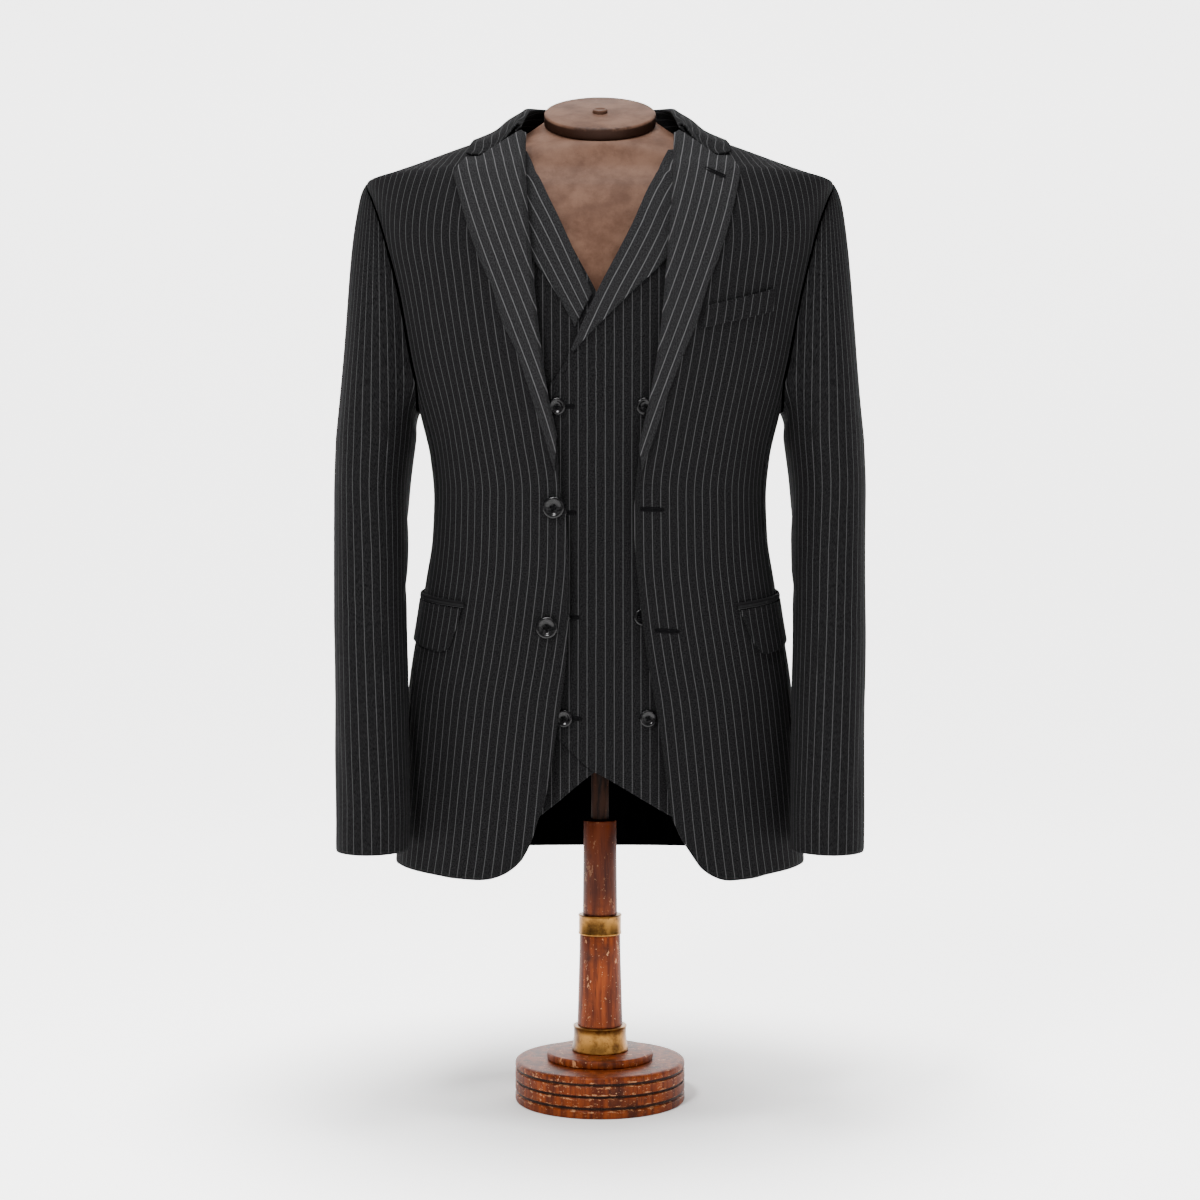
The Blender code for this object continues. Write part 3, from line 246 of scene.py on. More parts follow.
Spool = namedtuple("Spool", "diameter thickness")
JACKET_BUTTON = Spool(0.0210, 0.0042)
VEST_BUTTON = Spool(0.0165, 0.0030)
JACKET_BUTTON_SPOTS = table(Spot, (-43.7, 585), (-50, 471.6))
VEST_BUTTON_ROWS = (0.6800, 0.5806, 0.4819, 0.3862)
VEST_BUTTON_COLUMNS = (
    (-0.0393, -0.0380, -0.0351, -0.0331),
    (0.0407, 0.0408, 0.0389, 0.0439),
)

CollarStation = namedtuple(
    "CollarStation", "share edge_turn edge_height neck_turn neck_height fold_x fold_y fold_height"
)
COLLAR_STATIONS = (
    CollarStation(0.00, 37, 0.9280, 36, 0.9560, 0.0800, -0.0530, 0.9620),
    CollarStation(0.20, 62, 0.9460, 60, 0.9650, 0.0765, -0.0310, 0.9765),
    CollarStation(0.40, 90, 0.9525, 90, 0.9770, 0.0735, 0.0030, 0.9900),
    CollarStation(0.60, 120, 0.9500, 120, 0.9755, 0.0640, 0.0390, 0.9985),
    CollarStation(0.80, 150, 0.9480, 150, 0.9735, 0.0370, 0.0640, 1.0030),
    CollarStation(1.00, 180, 0.9480, 180, 0.9730, 0.0000, 0.0720, 1.0050),
)
FOLD_RADIUS = 0.0042
FOLD_DROP = 0.6
COLLAR_PLACES = (0.0, 0.25, 0.5, 0.625, 0.75, 0.875, 1.0)
NOTCH_BLEND = 0.10
COLLAR_MIDDLE = 0.45
COLLAR_HIGH = 0.85
GORGE_HIGH = 0.55
CollarLift = namedtuple("CollarLift", "notch round")
LOW_LIFT = CollarLift(0.0005, 0.0006)
MIDDLE_LIFT = CollarLift(0.0008, 0.0014)
HIGH_LIFT = CollarLift(0.0014, 0.0036)
STAND_DROP = 0.003
COLLAR_FALL_ROWS = 14
STAND_END = np.array((0.0020, -0.0010, -0.0090))

FormRing = namedtuple("FormRing", "front side back")
FORM_RINGS = table(
    FormRing, (400, 400, 400), (450, 450, 450), (510, 510, 510), (570, 570, 570), (640, 640, 640),
    (710, 710, 710), (770, 770, 770), (825, 825, 825), (865, 870, 870), (893, 886, 886), (907, 924, 922),
    (918, 932, 932), (928, 946, 946), (936, 960, 960),
)
NECK_TILT = math.radians(28.5)
NeckRing = namedtuple("NeckRing", "tilt y height half_width half_depth")
NECK_RINGS = (
    NeckRing(math.radians(22), 0.002, 0.9670, 0.0680, 0.0640),
    NeckRing(NECK_TILT, 0.0055, 0.9750, 0.0550, 0.0615),
)
CAP_THICKNESS = 0.0120
CAP_GAP = 0.0003
CAP_CENTRE = (0.0, 0.0, 0.9855)
CAP_HALF_WIDTH = 0.0560
CAP_HALF_DEPTH = 0.0625
PLUG_RADIUS = 0.0075
PLUG_HEIGHT = 0.0030
CAP_DARK_START = 0.9540
CAP_DARK_END = 0.9620
CAP_SHARP = 50

Crease = namedtuple("Crease", "x1 z1 x2 z2 depth width")
FRONT_CREASES = table(
    Crease, (150, 790, 146, 640, 2.2, 13), (163, 700, 150, 560, 1.4, 10), (136, 715, 140, 500, 0.5, 1.6),
    (112, 430, 118, 250, 1.6, 16), (150, 420, 160, 240, 2, 14), (85, 540, 90, 300, 0.8, 18),
    (175, 880, 165, 760, 1.4, 12), (70, 580, 120, 610, 0.7, 9),
)
BACK_CREASES = table(
    Crease, (60, 800, 85, 640, 1.6, 18), (120, 780, 100, 600, 1.8, 15), (50, 560, 110, 590, 1.2, 10),
    (40, 600, 95, 625, 0.9, 9), (80, 460, 92, 240, 2, 17), (135, 470, 150, 240, 2.2, 15),
    (30, 420, 34, 240, 1.2, 14), (0, 960, 0, 240, 0.7, 2.2),
)
SIDE_CREASES = table(Crease, (-10, 640, 0, 420, 1.4, 13), (22, 470, 30, 240, 1.8, 14))
VEST_CREASES = table(
    Crease, (100, 640, 120, 560, 1, 10), (60, 560, 115, 580, 0.9, 9), (75, 480, 82, 330, 0.8, 12),
    (-20, 350, 30, 345, 0.6, 8),
)
LINING_CREASES = table(
    Crease, (20, 400, 26, 250, 1.6, 8), (-50, 380, -40, 260, 1.2, 9), (70, 390, 64, 260, 1.3, 10),
)
SleeveCrease = namedtuple("SleeveCrease", "degrees1 share1 degrees2 share2 depth width")
SLEEVE_CREASES = (
    SleeveCrease(60, 0.52, 150, 0.60, 0.0024, 0.011),
    SleeveCrease(75, 0.60, 140, 0.63, 0.0020, 0.009),
    SleeveCrease(40, 0.68, 130, 0.66, 0.0016, 0.010),
    SleeveCrease(-60, 0.50, -10, 0.66, 0.0010, 0.014),
    SleeveCrease(95, 0.20, 100, 0.46, 0.0020, 0.012),
    SleeveCrease(-95, 0.14, -88, 0.48, 0.0024, 0.014),
    SleeveCrease(20, 0.80, 60, 0.97, 0.0012, 0.012),
    SleeveCrease(-70, 0.74, -50, 0.95, 0.0014, 0.013),
    SleeveCrease(170, 0.50, 215, 0.58, 0.0020, 0.011),
    SleeveCrease(165, 0.66, 205, 0.62, 0.0016, 0.010),
)

Turned = namedtuple("Turned", "radius height")
BASE_PROFILE = table(
    Turned, (0, 40.2), (80, 40.2), (82.6, 39.8), (84, 38.8), (84.5, 37.5), (84.5, 34.6), (84.1, 34.1),
    (82.5, 33.8), (82.2, 32.5), (82.5, 31.2), (84.1, 30.9), (84.5, 30.4), (84.5, 22.9), (84.1, 22.4),
    (82.5, 22.1), (82.2, 21.1), (82.5, 20.1), (84.1, 19.8), (84.5, 19.3), (84.5, 12.1), (84.1, 11.6),
    (82.5, 11.3), (82.2, 9.5), (82.5, 7.8), (84.1, 7.5), (84.5, 7), (84.5, 2), (84, 0.6), (83, 0), (0, 0),
)
BASE_GROOVES = (0.0325, 0.0211, 0.0095)
DISC_PROFILE = table(
    Turned, (0, 48.5), (50, 48.5), (51.8, 48.1), (52.7, 47), (52.9, 44.2), (52.7, 41.5), (52, 40.7),
    (51, 40.5), (0, 40.5),
)
COLLAR_LOWER_PROFILE = table(
    Turned, (0, 74), (25.6, 74), (26.5, 73.7), (26.8, 72.8), (26.5, 71.9), (26.1, 71.3), (26.1, 65.5),
    (26.3, 62), (26.7, 58), (27.3, 54.5), (27.8, 52), (28.1, 50.5), (28.1, 49.4), (27.6, 48.8), (0, 48.8),
)
COLUMN_LOWER_PROFILE = table(
    Turned, (0, 164.2), (19.8, 164.2), (20.2, 163), (20.5, 145), (21.5, 110), (22.5, 74.3), (0, 74.3),
)
RING_UPPER_PROFILE = table(
    Turned, (0, 184.5), (20.5, 184.5), (21.4, 184.2), (21.7, 183.4), (21.4, 182.6), (21.1, 182.2),
    (21.1, 167), (21.4, 166.5), (21.6, 165.7), (21.3, 164.8), (20.7, 164.5), (0, 164.5),
)
COLUMN_UPPER_PROFILE = table(
    Turned, (0, 278), (15.2, 278), (16, 277.7), (16.3, 276.5), (16.7, 230), (17.2, 184.8), (0, 184.8),
)
POST_PROFILE = table(Turned, (0, 399.7), (8.8, 399.7), (8.8, 278.3), (0, 278.3))
BUTTON_PROFILE = (
    Turned(0.000, 0.62), Turned(0.300, 0.62), Turned(0.440, 0.64), Turned(0.520, 0.70), Turned(0.600, 0.83),
    Turned(0.680, 0.94), Turned(0.760, 1.00), Turned(0.840, 1.00), Turned(0.910, 0.95), Turned(0.965, 0.84),
    Turned(0.995, 0.68), Turned(1.000, 0.55), Turned(0.960, 0.36), Turned(0.860, 0.10), Turned(0.780, 0.00),
    Turned(0.000, 0.00),
)

Buttonhole = namedtuple("Buttonhole", "x height length degrees lift")
BUTTONHOLES = (
    Buttonhole(0.0491, 0.5835, 0.0215, -2, 0.0),
    Buttonhole(0.0633, 0.4687, 0.0220, -3, 0.0),
    Buttonhole(0.1108, 0.9046, 0.0205, -22, LAPEL_LIFT + 0.0012),
)
VEST_HOLE_REACH = 0.0078
VEST_HOLE_LENGTH = 0.0165
HOLE_WIDTH = 0.0030
HOLE_CORD = 0.00075
HOLE_SPREAD = 0.17
HOLE_RADIUS = 0.095
BUTTON_FACE = 0.62
BUTTON_SHARP = 35
BUTTON_TURN = 23
THREAD_RADIUS = 0.00026
THREAD_ARCH = 0.0006
THREAD_DIP = 0.0010
THREAD_CROSSING = 0.0003
TURNED_SIDES = 128

Finish = namedtuple("Finish", "columns rows unevenness seed fade_start fade_end edge_reach")
FRONT_FINISH = Finish(58, 120, 0.0007, 1.0, 0.80, 0.95, 0.06)
BACK_FINISH = Finish(58, 120, 0.0008, 3.0, 0.78, 0.92, 0.05)
VEST_FINISH = Finish(62, 110, 0.0004, 7.0, 0.70, 0.90, 0.08)
HEM_REACH = 0.03
SLEEVE_UNEVENNESS = 0.0007
SLEEVE_SEED = 5.0
CREASE_END = 0.04
CREASE_FADE = 0.6
WAVES = ((23, 11, 1.0, 1.0), (-17, 41, 2.3, 1.0), (67, 29, 4.1, 0.6))
EDGE_SINK = 0.28
EDGE_PLACES = np.linspace(0, 1, 70)

GRAIN_LINE = table(
    Spot, (70, 230), (65, 270), (51.7, 400), (45.2, 440), (38.5, 490), (34.5, 535.7), (33.9, 600),
    (40.5, 650), (50, 706), (57, 750), (63, 800), (67, 850), (67, 900), (64, 992),
)
SLEEVE_REFERENCE = Ring(0.500, 0.0, 0.0, 0.0360, 0.0600)
SLEEVE_LENGTH = 0.66
SLEEVE_ROUND = 0.050
SHOULDER_TURN = 0.42
TURN_START = 0.83
TURN_RANGE = 0.12
TURN_MOST = 1.3
YOKE_START = 0.895
WIDEST_STRIPE = 0.995
BLADE_HEIGHT = 0.86
REFERENCE_WIDTH = 0.190
SPREAD = 0.45
FRONT_SPREAD = 0.30
BACK_SPREAD = 0.35
SLEEVE_SPREAD = 0.4
FRONT_STRIPE_START = 0.0030
BACK_STRIPE_START = 0.0043
SLEEVE_STRIPE_START = 0.0020
LAPEL_STRIPE_START = 0.0022
COLLAR_STRIPE_START = 0.0030
COLLAR_STEP = 0.0022
VEST_STRIPE_START = 0.0006
VEST_LAPEL_STRIPE_START = 0.0030
JET_STRIPE = 0.0044
STRIPE_GAP = 0.0087
STRIPE_HALF = 0.00036
DASH = 0.0021
WEAVE = 0.0009

Chips = namedtuple("Chips", "stretch scale start")
WOOD_SHADE_LOW = 0.165
WOOD_SHADE_HIGH = 0.215
GROOVE_HALF = 0.0013
RIM_WEAR = 0.075

FLOOR_GLOW = 2.9
FLOOR_DIM = 0.05
GLOW_START = 0.09
GLOW_END = 0.52
FLOOR_HALF = 6.0
FLOOR_FRONT = -5.0
BEND_START = 2.2
BEND_RADIUS = 2.0
WALL_TOP = 6.0
WORLD_COLOUR = (1.0, 0.995, 0.99, 1.0)
WORLD_STRENGTH = 0.34
Light = namedtuple("Light", "name place target side power")
LIGHTS = (
    Light("key", (-0.9, -1.8, 2.5), (0.0, 0.0, 0.65), 0.6, 88),
    Light("fill", (1.9, -2.2, 1.3), (0.0, 0.0, 0.5), 1.8, 16),
    Light("top", (0.0, -0.2, 2.6), (0.0, 0.0, 0.5), 0.9, 75),
)
SENSOR_WIDTH = 36.0
CLIP_START = 0.05


def spline(places, values):
    """A smooth reading between rows that never overshoots them, for single values or arrays."""
    places = np.asarray(places, float)
    values = np.asarray(values, float)
    gaps = np.diff(places)
    rises = np.diff(values) / gaps
    before, after = rises[:-1], rises[1:]
    straight = before * after > 0
    inner = np.where(straight, 2 * before * after / np.where(straight, before + after, 1), 0)
    slopes = np.concatenate((rises[:1], inner, rises[-1:]))

    def reading(place):
        place = np.clip(place, places[0], places[-1])
        i = np.clip(np.searchsorted(places, place, "right") - 1, 0, len(gaps) - 1)
        t = (place - places[i]) / gaps[i]
        value = (2 * t**3 - 3 * t**2 + 1) * values[i] + (3 * t**2 - 2 * t**3) * values[i + 1]
        bend = (t**3 - 2 * t**2 + t) * slopes[i] + (t**3 - t**2) * slopes[i + 1]
        return value + gaps[i] * bend

    return reading


def columns_of(rows, key):
    """Each column of a table as a smooth reading over its key column."""
    places = [getattr(row, key) for row in rows]
    return {
        name: spline(places, [getattr(row, name) for row in rows])
        for name in rows[0]._fields
        if name != key
    }


BODY = columns_of(SECTIONS, "height")
ARM = columns_of(ARMHOLE, "degrees")
TUBE = columns_of(SLEEVE[::-1], "height")


def mixed(before, after, t):
    return before * (1 - t) + after * t


def smooth_step(value, low, high):
    t = np.clip((value - low) / (high - low), 0.0, 1.0)
    return t * t * (3 - 2 * t)


def column(values):
    """A last axis of one, so that numbers per point multiply points."""
    return np.asarray(values, float)[..., None]


def unit(vectors):
    return vectors / np.maximum(np.linalg.norm(vectors, axis=-1, keepdims=True), 1e-12)


def signed_power(value, power):
    return np.sign(value) * np.abs(value) ** power


def body_frame(flat):
    """The points and the outward normals of the body sections at flat places."""
    angle, height = flat[..., 0] / ROUND, flat[..., 1]
    is_front = np.cos(angle) >= 0

    def depth_at(z):
        return np.where(is_front, BODY["front"](z), BODY["back"](z))

    width, depth = BODY["half_width"](height), depth_at(height)
    x = width * signed_power(np.sin(angle), 2 / POWER)
    y = -depth * signed_power(np.cos(angle), 2 / POWER)
    width_slope = (BODY["half_width"](height + STEP) - BODY["half_width"](height - STEP)) / (2 * STEP)
    depth_slope = (depth_at(height + STEP) - depth_at(height - STEP)) / (2 * STEP)
    across, deep = np.abs(x) / width, np.abs(y) / depth
    normal = np.stack((
        np.sign(x) * across ** (POWER - 1) / width,
        np.sign(y) * deep ** (POWER - 1) / depth,
        -(across**POWER) * width_slope / width - deep**POWER * depth_slope / depth,
    ), -1)
    return np.stack((x, y, height), -1), unit(normal)


def body_point(flat, lift=0.0):
    point, normal = body_frame(np.asarray(flat, float))
    return point + column(lift) * normal


def from_front(spot, lift=0.0):
    """The flat places seen at x and height from the front, for cloth at that lift."""
    spot = np.asarray(spot, float)
    width = BODY["half_width"](spot[..., 1]) + lift
    share = np.minimum(np.abs(spot[..., 0]) / width, 1.0)
    angle = np.sign(spot[..., 0]) * np.arcsin(share ** (POWER / 2))
    return np.stack((ROUND * angle, spot[..., 1]), -1)


def from_back(spot, lift=0.0):
    flat = from_front(spot, lift)
    return np.array((math.pi * ROUND - flat[0], flat[1]))


def from_side(y, height):
    """The flat places seen at y and height from the wearer's left."""
    depth = np.where(y < 0, BODY["front"](height), BODY["back"](height))
    angle = np.arccos(np.minimum((np.abs(y) / depth) ** (POWER / 2), 1.0))
    angle = np.where(y < 0, angle, math.pi - angle)
    return np.stack((ROUND * angle, height), -1)


def path(points):
    """A smooth curve through points or flat places, read from 0 to 1 along its real length."""
    points = np.asarray([tuple(point) for point in points], float)
    real = body_point(points) if points.shape[1] == 2 else points
    reach = np.concatenate(((0.0,), np.cumsum(np.linalg.norm(np.diff(real, axis=0), axis=1))))
    parts = [spline(reach / reach[-1], points[:, i]) for i in range(points.shape[1])]
    return lambda t: np.stack([part(t) for part in parts], -1)


def by_height(across, heights):
    """A smooth curve through places, read from 0 to 1 evenly in height."""
    reading = spline(heights, across)
    first, last = heights[0], heights[-1]
    return lambda t: np.stack((reading(mixed(first, last, t)), mixed(first, last, t)), -1)


def seen_path(spots):
    """A smooth curve through places seen from the front, read along its height."""
    return by_height([spot.x for spot in spots], [spot.height for spot in spots])


def straight(first, last):
    """A straight run between two places seen from the front."""
    first, last = np.asarray(first, float), np.asarray(last, float)
    return lambda t: mixed(first, last, column(t))


def along(places, points):
    """Straight runs between points, each reached at its own place."""
    columns = np.asarray(points, float).T
    return lambda t: np.stack([np.interp(t, places, values) for values in columns], -1)


def joined(first, second, split):
    def reading(t):
        t = np.asarray(t, float)
        low, high = first(np.minimum(t / split, 1)), second(np.maximum((t - split) / (1 - split), 0))
        return np.where(column(t < split), low, high)

    return reading


def crowded(v, split):
    """Rows past the split drawn together towards the shoulder, where the cloth bends most."""
    bent = 1 - (1 - split) * (np.maximum(1 - v, 0) / (1 - split)) ** CROWDING
    return np.where(v < split, v, bent)


def patch(left, right, bottom, top, hold=1):
    """The flat places at (u, v) between four edges that share their corners."""
    def place(u, v):
        low = bottom(u) - mixed(bottom(0.0), bottom(1.0), column(u))
        high = top(u) - mixed(top(0.0), top(1.0), column(u))
        return mixed(left(v), right(v), column(u)) + mixed(low, high, column(v**hold))

    return place


def armhole_place(degrees, grow=1.0):
    middle = (ARM["height"](0) + ARM["height"](180)) / 2
    return ARM["y"](degrees) * grow, middle + (ARM["height"](degrees) - middle) * grow


def armhole_path(first, last):
    turns = np.linspace(first, last, 9)
    return path(from_side(*armhole_place(turns)))


def side_seam(marks, corner_degrees):
    """A side seam from the hem up to the armhole, read by height, so that both panels share it."""
    y, height = armhole_place(corner_degrees)
    flats = [from_side(np.asarray(mark.y), np.asarray(mark.height)) for mark in marks]
    flats.append(from_side(y, height))
    flats = np.array(flats)
    return by_height(flats[:, 0], flats[:, 1])


ARC_HEIGHTS = np.linspace(0.20, 0.992, 120)
ARC_ANGLES = np.linspace(0, math.pi, 181)


def arc_table():
    """How far round each section its angles are from the centre front."""
    angles, heights = np.meshgrid(ARC_ANGLES, ARC_HEIGHTS)
    points = body_point(np.stack((angles * ROUND, heights), -1))
    lengths = np.linalg.norm(np.diff(points, axis=1), axis=-1)
    return np.concatenate((np.zeros((len(ARC_HEIGHTS), 1)), np.cumsum(lengths, axis=1)), axis=1)


ARC = arc_table()


def arc_at(angle, height):
    row = np.interp(height, ARC_HEIGHTS, np.arange(len(ARC_HEIGHTS)))
    place = np.clip(angle / math.pi, 0, 1) * (len(ARC_ANGLES) - 1)
    i = np.minimum(row.astype(int), len(ARC_HEIGHTS) - 2)
    j = np.minimum(place.astype(int), len(ARC_ANGLES) - 2)
    low = mixed(ARC[i, j], ARC[i, j + 1], place - j)
    high = mixed(ARC[i + 1, j], ARC[i + 1, j + 1], place - j)
    return mixed(low, high, row - i)


def drawn_in(arc, height, power=SPREAD):
    """Stripes that come closer where the body is narrow and spread where it is wide."""
    return arc * (REFERENCE_WIDTH / BODY["half_width"](height)) ** power


def from_centre_front(flat, power=SPREAD):
    angle = flat[..., 0] / ROUND
    return drawn_in(np.sign(angle) * arc_at(np.abs(angle), flat[..., 1]), flat[..., 1], power)


def towards_neck(height):
    """The stripes lean towards the neck as the cloth goes over the shoulder."""
    rise = np.clip((height - TURN_START) / TURN_RANGE, 0, TURN_MOST)
    return 1 + SHOULDER_TURN * rise**2


def from_front_grain(flat):
    """Across a jacket front from its grain line, which runs beside the front edge."""
    height = flat[..., 1]
    line = spline([spot.height for spot in GRAIN_LINE], [spot.x for spot in GRAIN_LINE])
    start = from_front(np.stack((line(height), height), -1))[..., 0] / ROUND
    arc = arc_at(np.abs(flat[..., 0]) / ROUND, height) - arc_at(start, height)
    arc = drawn_in(arc, np.minimum(height, BLADE_HEIGHT), FRONT_SPREAD)
    return arc * towards_neck(height) - FRONT_STRIPE_START


def from_centre_back(flat, power=SPREAD):
    turn = math.pi - flat[..., 0] / ROUND
    whole = arc_at(np.full_like(turn, math.pi), flat[..., 1])
    arc = np.sign(turn) * (whole - arc_at(math.pi - np.abs(turn), flat[..., 1]))
    return drawn_in(arc, flat[..., 1], power)


def blade_stripes(flat):
    """Across a back half from its centre seam."""
    low = np.stack((flat[..., 0], np.minimum(flat[..., 1], BLADE_HEIGHT)), -1)
    return from_centre_back(low, BACK_SPREAD) * towards_neck(flat[..., 1]) - BACK_STRIPE_START


def back_stripes(flat):
    """As blade_stripes, but straight up over the shoulder blades, as the cloth is cut."""
    widest = WIDEST_STRIPE * BODY["half_width"](YOKE_START)
    across = np.clip(body_point(flat)[..., 0], -widest, widest)
    seen = from_front(np.stack((across, np.full_like(across, YOKE_START)), -1))
    below = np.stack((math.pi * ROUND - seen[..., 0], seen[..., 1]), -1)
    return blade_stripes(np.where(column(flat[..., 1]) > YOKE_START, below, flat))


def from_side_middle(flat):
    angle = flat[..., 0] / ROUND
    quarter = arc_at(np.full_like(angle, math.pi / 2), flat[..., 1])
    return drawn_in(arc_at(np.abs(angle), flat[..., 1]) - quarter, flat[..., 1])


def length_along(points):
    """How far up its own column each point of a grid is."""
    lengths = np.linalg.norm(np.diff(points, axis=1), axis=-1)
    return np.concatenate((np.zeros((len(points), 1)), np.cumsum(lengths, axis=1)), axis=1)


def places(count, rim=0.004):
    """Even places from 0 to 1, with one more next to each end for the folded edge."""
    return np.concatenate(((0.0,), np.linspace(rim, 1 - rim, count - 1), (1.0,)))


def grid(columns, rows, rim_u=0.006, rim_v=0.003):
    return np.meshgrid(places(columns, rim_u), places(rows, rim_v), indexing="ij")


def sided(flat, side):
    return flat * np.array((side, 1.0))


def mirrored(points, side):
    return points * np.array((side, 1.0, 1.0))


def troughs(creases, x, z):
    """How far in soft creases draw a surface. A negative depth makes a ridge."""
    total = np.zeros_like(x)
    for crease in creases:
        start = np.array((crease.x1, crease.z1))
        run = np.array((crease.x2, crease.z2)) - start
        share = np.clip(((x - start[0]) * run[0] + (z - start[1]) * run[1]) / (run @ run), 0, 1)
        away = np.hypot(x - start[0] - share * run[0], z - start[1] - share * run[1])
        fade = np.sin(math.pi * np.clip(share, CREASE_END, 1 - CREASE_END)) ** CREASE_FADE
        total -= crease.depth * fade * np.exp(-((away / crease.width) ** 2))
    return total


def unevenness(x, z, size, seed):
    """A slow unevenness, which no pressed cloth is without."""
    wave = sum(share * np.sin(across * x + up * z + shift * seed) for across, up, shift, share in WAVES)
    return size * (wave / sum(row[-1] for row in WAVES) - 0.3)


def pressed(creases, finish, side, points, u, v):
    """The creases and unevenness of a panel, pressed flat at its hem, its front edge and its top."""
    x, z = points[..., 0], points[..., 2]
    uneven = unevenness(side * x, z, finish.unevenness, finish.seed + side)
    relief = np.minimum(troughs(creases, x, z) + uneven, 0)
    fade = smooth_step(v, 0.0, HEM_REACH) * (1 - smooth_step(v, finish.fade_start, finish.fade_end))
    return relief * fade * smooth_step(u, 0.0, finish.edge_reach)


def new_mesh(name, points, faces, materials, sharp_degrees=None):
    """A smooth mesh, sharp where its faces meet at more than the given degrees."""
    mesh = bpy.data.meshes.new(name)
    mesh.from_pydata(points, [], faces)
    for material in materials:
        mesh.materials.append(material)
    mesh.shade_smooth()
    if sharp_degrees is not None:
        mesh.set_sharp_from_angle(angle=math.radians(sharp_degrees))
    return mesh


def linked(name, data):
    item = bpy.data.objects.new(name, data)
    bpy.context.scene.collection.objects.link(item)
    return item


def ring_faces(rows, sides, closed=False):
    """The faces between rings of points, with caps unless the last ring meets the first."""
    faces = [
        (k * sides + i, k * sides + j, (k + 1) % rows * sides + j, (k + 1) % rows * sides + i)
        for k in range(rows if closed else rows - 1)
        for i, j in zip(range(sides), (*range(1, sides), 0))
    ]
    if not closed:
        faces.append(tuple(range(sides - 1, -1, -1)))
        faces.append(tuple((rows - 1) * sides + i for i in range(sides)))
    return faces


def piece(name, mesh, slot, nodes=()):
    """A finished piece that rides on the root and stands for its CAD nodes."""
    item = linked(name, mesh)
    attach(item, "root")
    if nodes:
        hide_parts(*nodes)
    return item


def wall_faces(index):
    """The faces of a wall over a grid of numbers: the outer ones, then the inner ones and the rim."""
    quads = np.stack((index[:-1, :-1], index[1:, :-1], index[1:, 1:], index[:-1, 1:]), -1)
    quads = quads.reshape(-1, 4)
    ring = np.concatenate((index[:, 0], index[-1, 1:], index[-2::-1, -1], index[0, -2:0:-1]))
    after = np.roll(ring, -1)
    rim = np.stack((after, ring, ring + index.size, after + index.size), -1)
    return np.concatenate((quads, quads[:, ::-1] + index.size, rim))


def thin_wall(name, points, normals, uv, thickness, materials, slot="pinstripe_cloth"):
    """A closed wall under a grid of outer points, with slightly rounded edges."""
    across, along_v = points.shape[:2]
    border = np.zeros((across, along_v))
    border[[0, -1], :] = 1
    border[:, [0, -1]] = 1
    outer = points - column(EDGE_SINK * thickness * border) * normals
    inner = points - column(thickness * (1 - EDGE_SINK * border)) * normals
    faces = wall_faces(np.arange(across * along_v).reshape(across, along_v))
    facing = np.cross(points[1:, :-1] - points[:-1, :-1], points[:-1, 1:] - points[:-1, :-1])
    if np.sum(facing * normals[:-1, :-1]) < 0:
        faces = faces[:, ::-1]
    both = np.concatenate((outer.reshape(-1, 3), inner.reshape(-1, 3)))
    both_uv = np.concatenate((uv.reshape(-1, 2), uv.reshape(-1, 2)))
    mesh = new_mesh(name, both.tolist(), faces.tolist(), materials)
    corners = np.empty(len(mesh.loops), dtype=np.int64)
    mesh.loops.foreach_get("vertex_index", corners)
    layer = mesh.uv_layers.new(name="cloth")
    layer.data.foreach_set("uv", both_uv[corners].astype(np.float32).ravel())
    numbers = np.zeros(len(faces), dtype=np.int32)
    outer_faces = (across - 1) * (along_v - 1)
    numbers[outer_faces:2 * outer_faces] = 1
    mesh.polygons.foreach_set("material_index", numbers)
    return piece(name + "_cloth", mesh, slot, (name,))


def grid_normals(points, outward):
    """The normals of a grid, turned to the side that the outward grid of vectors is on."""
    normals = unit(np.cross(np.gradient(points, axis=0), np.gradient(points, axis=1)))
    return normals * np.sign(np.sum(normals * outward))


def cut_of(points):
    """The width, length and area of the flat cloth that a grid of points needs."""
    rows = np.linalg.norm(np.diff(points, axis=0), axis=-1).sum(axis=0)
    columns = np.linalg.norm(np.diff(points, axis=1), axis=-1).sum(axis=1)
    one, two = points[1:, 1:] - points[:-1, :-1], points[1:, :-1] - points[:-1, 1:]
    area = 0.5 * np.linalg.norm(np.cross(one, two), axis=-1).sum()
    width, length = float(rows.max()), float(columns.max())
    return width, length, float(np.clip(area, 0.301 * width * length, width * length))


def hung(item, points):
    width, length, area = cut_of(points)


def body_wall(name, flat, lift, thickness, stripes, materials, slot="pinstripe_cloth"):
    """A wall on the body sections, whose cloth runs up its own columns."""
    points, normals = body_frame(flat)
    points = points + column(lift) * normals
    uv = np.stack((stripes, length_along(points)), -1)
    return thin_wall(name, points, normals, uv, thickness, materials, slot), points


def jacket_front(side, suffix):
    edge = [from_front(spot) for spot in FRONT_EDGE[side] + ROLL_LINE[side][1:]]
    neck_point = np.array((ROUND * math.pi / 2, NECK_POINT_HEIGHT))
    split = SEAM_SHARE_FRONT
    seam = joined(side_seam(FRONT_SEAM, UNDERARM_FRONT), armhole_path(UNDERARM_FRONT, 0), split)
    hem = [from_front(spot) for spot in FRONT_HEM[side]] + [seam(0.0)]
    place = patch(path(edge + [neck_point]), seam, path(hem), path([neck_point, seam(1.0)]))
    u, v = grid(FRONT_FINISH.columns, FRONT_FINISH.rows)
    flat = place(u, crowded(v, split))
    relief = pressed(FRONT_CREASES, FRONT_FINISH, side, body_point(flat), u, v)
    item, points = body_wall(
        "jacket_front_" + suffix, sided(flat, side), relief, JACKET_WALL, from_front_grain(flat),
        (CLOTH, LINING),
    )
    hung(item, points)


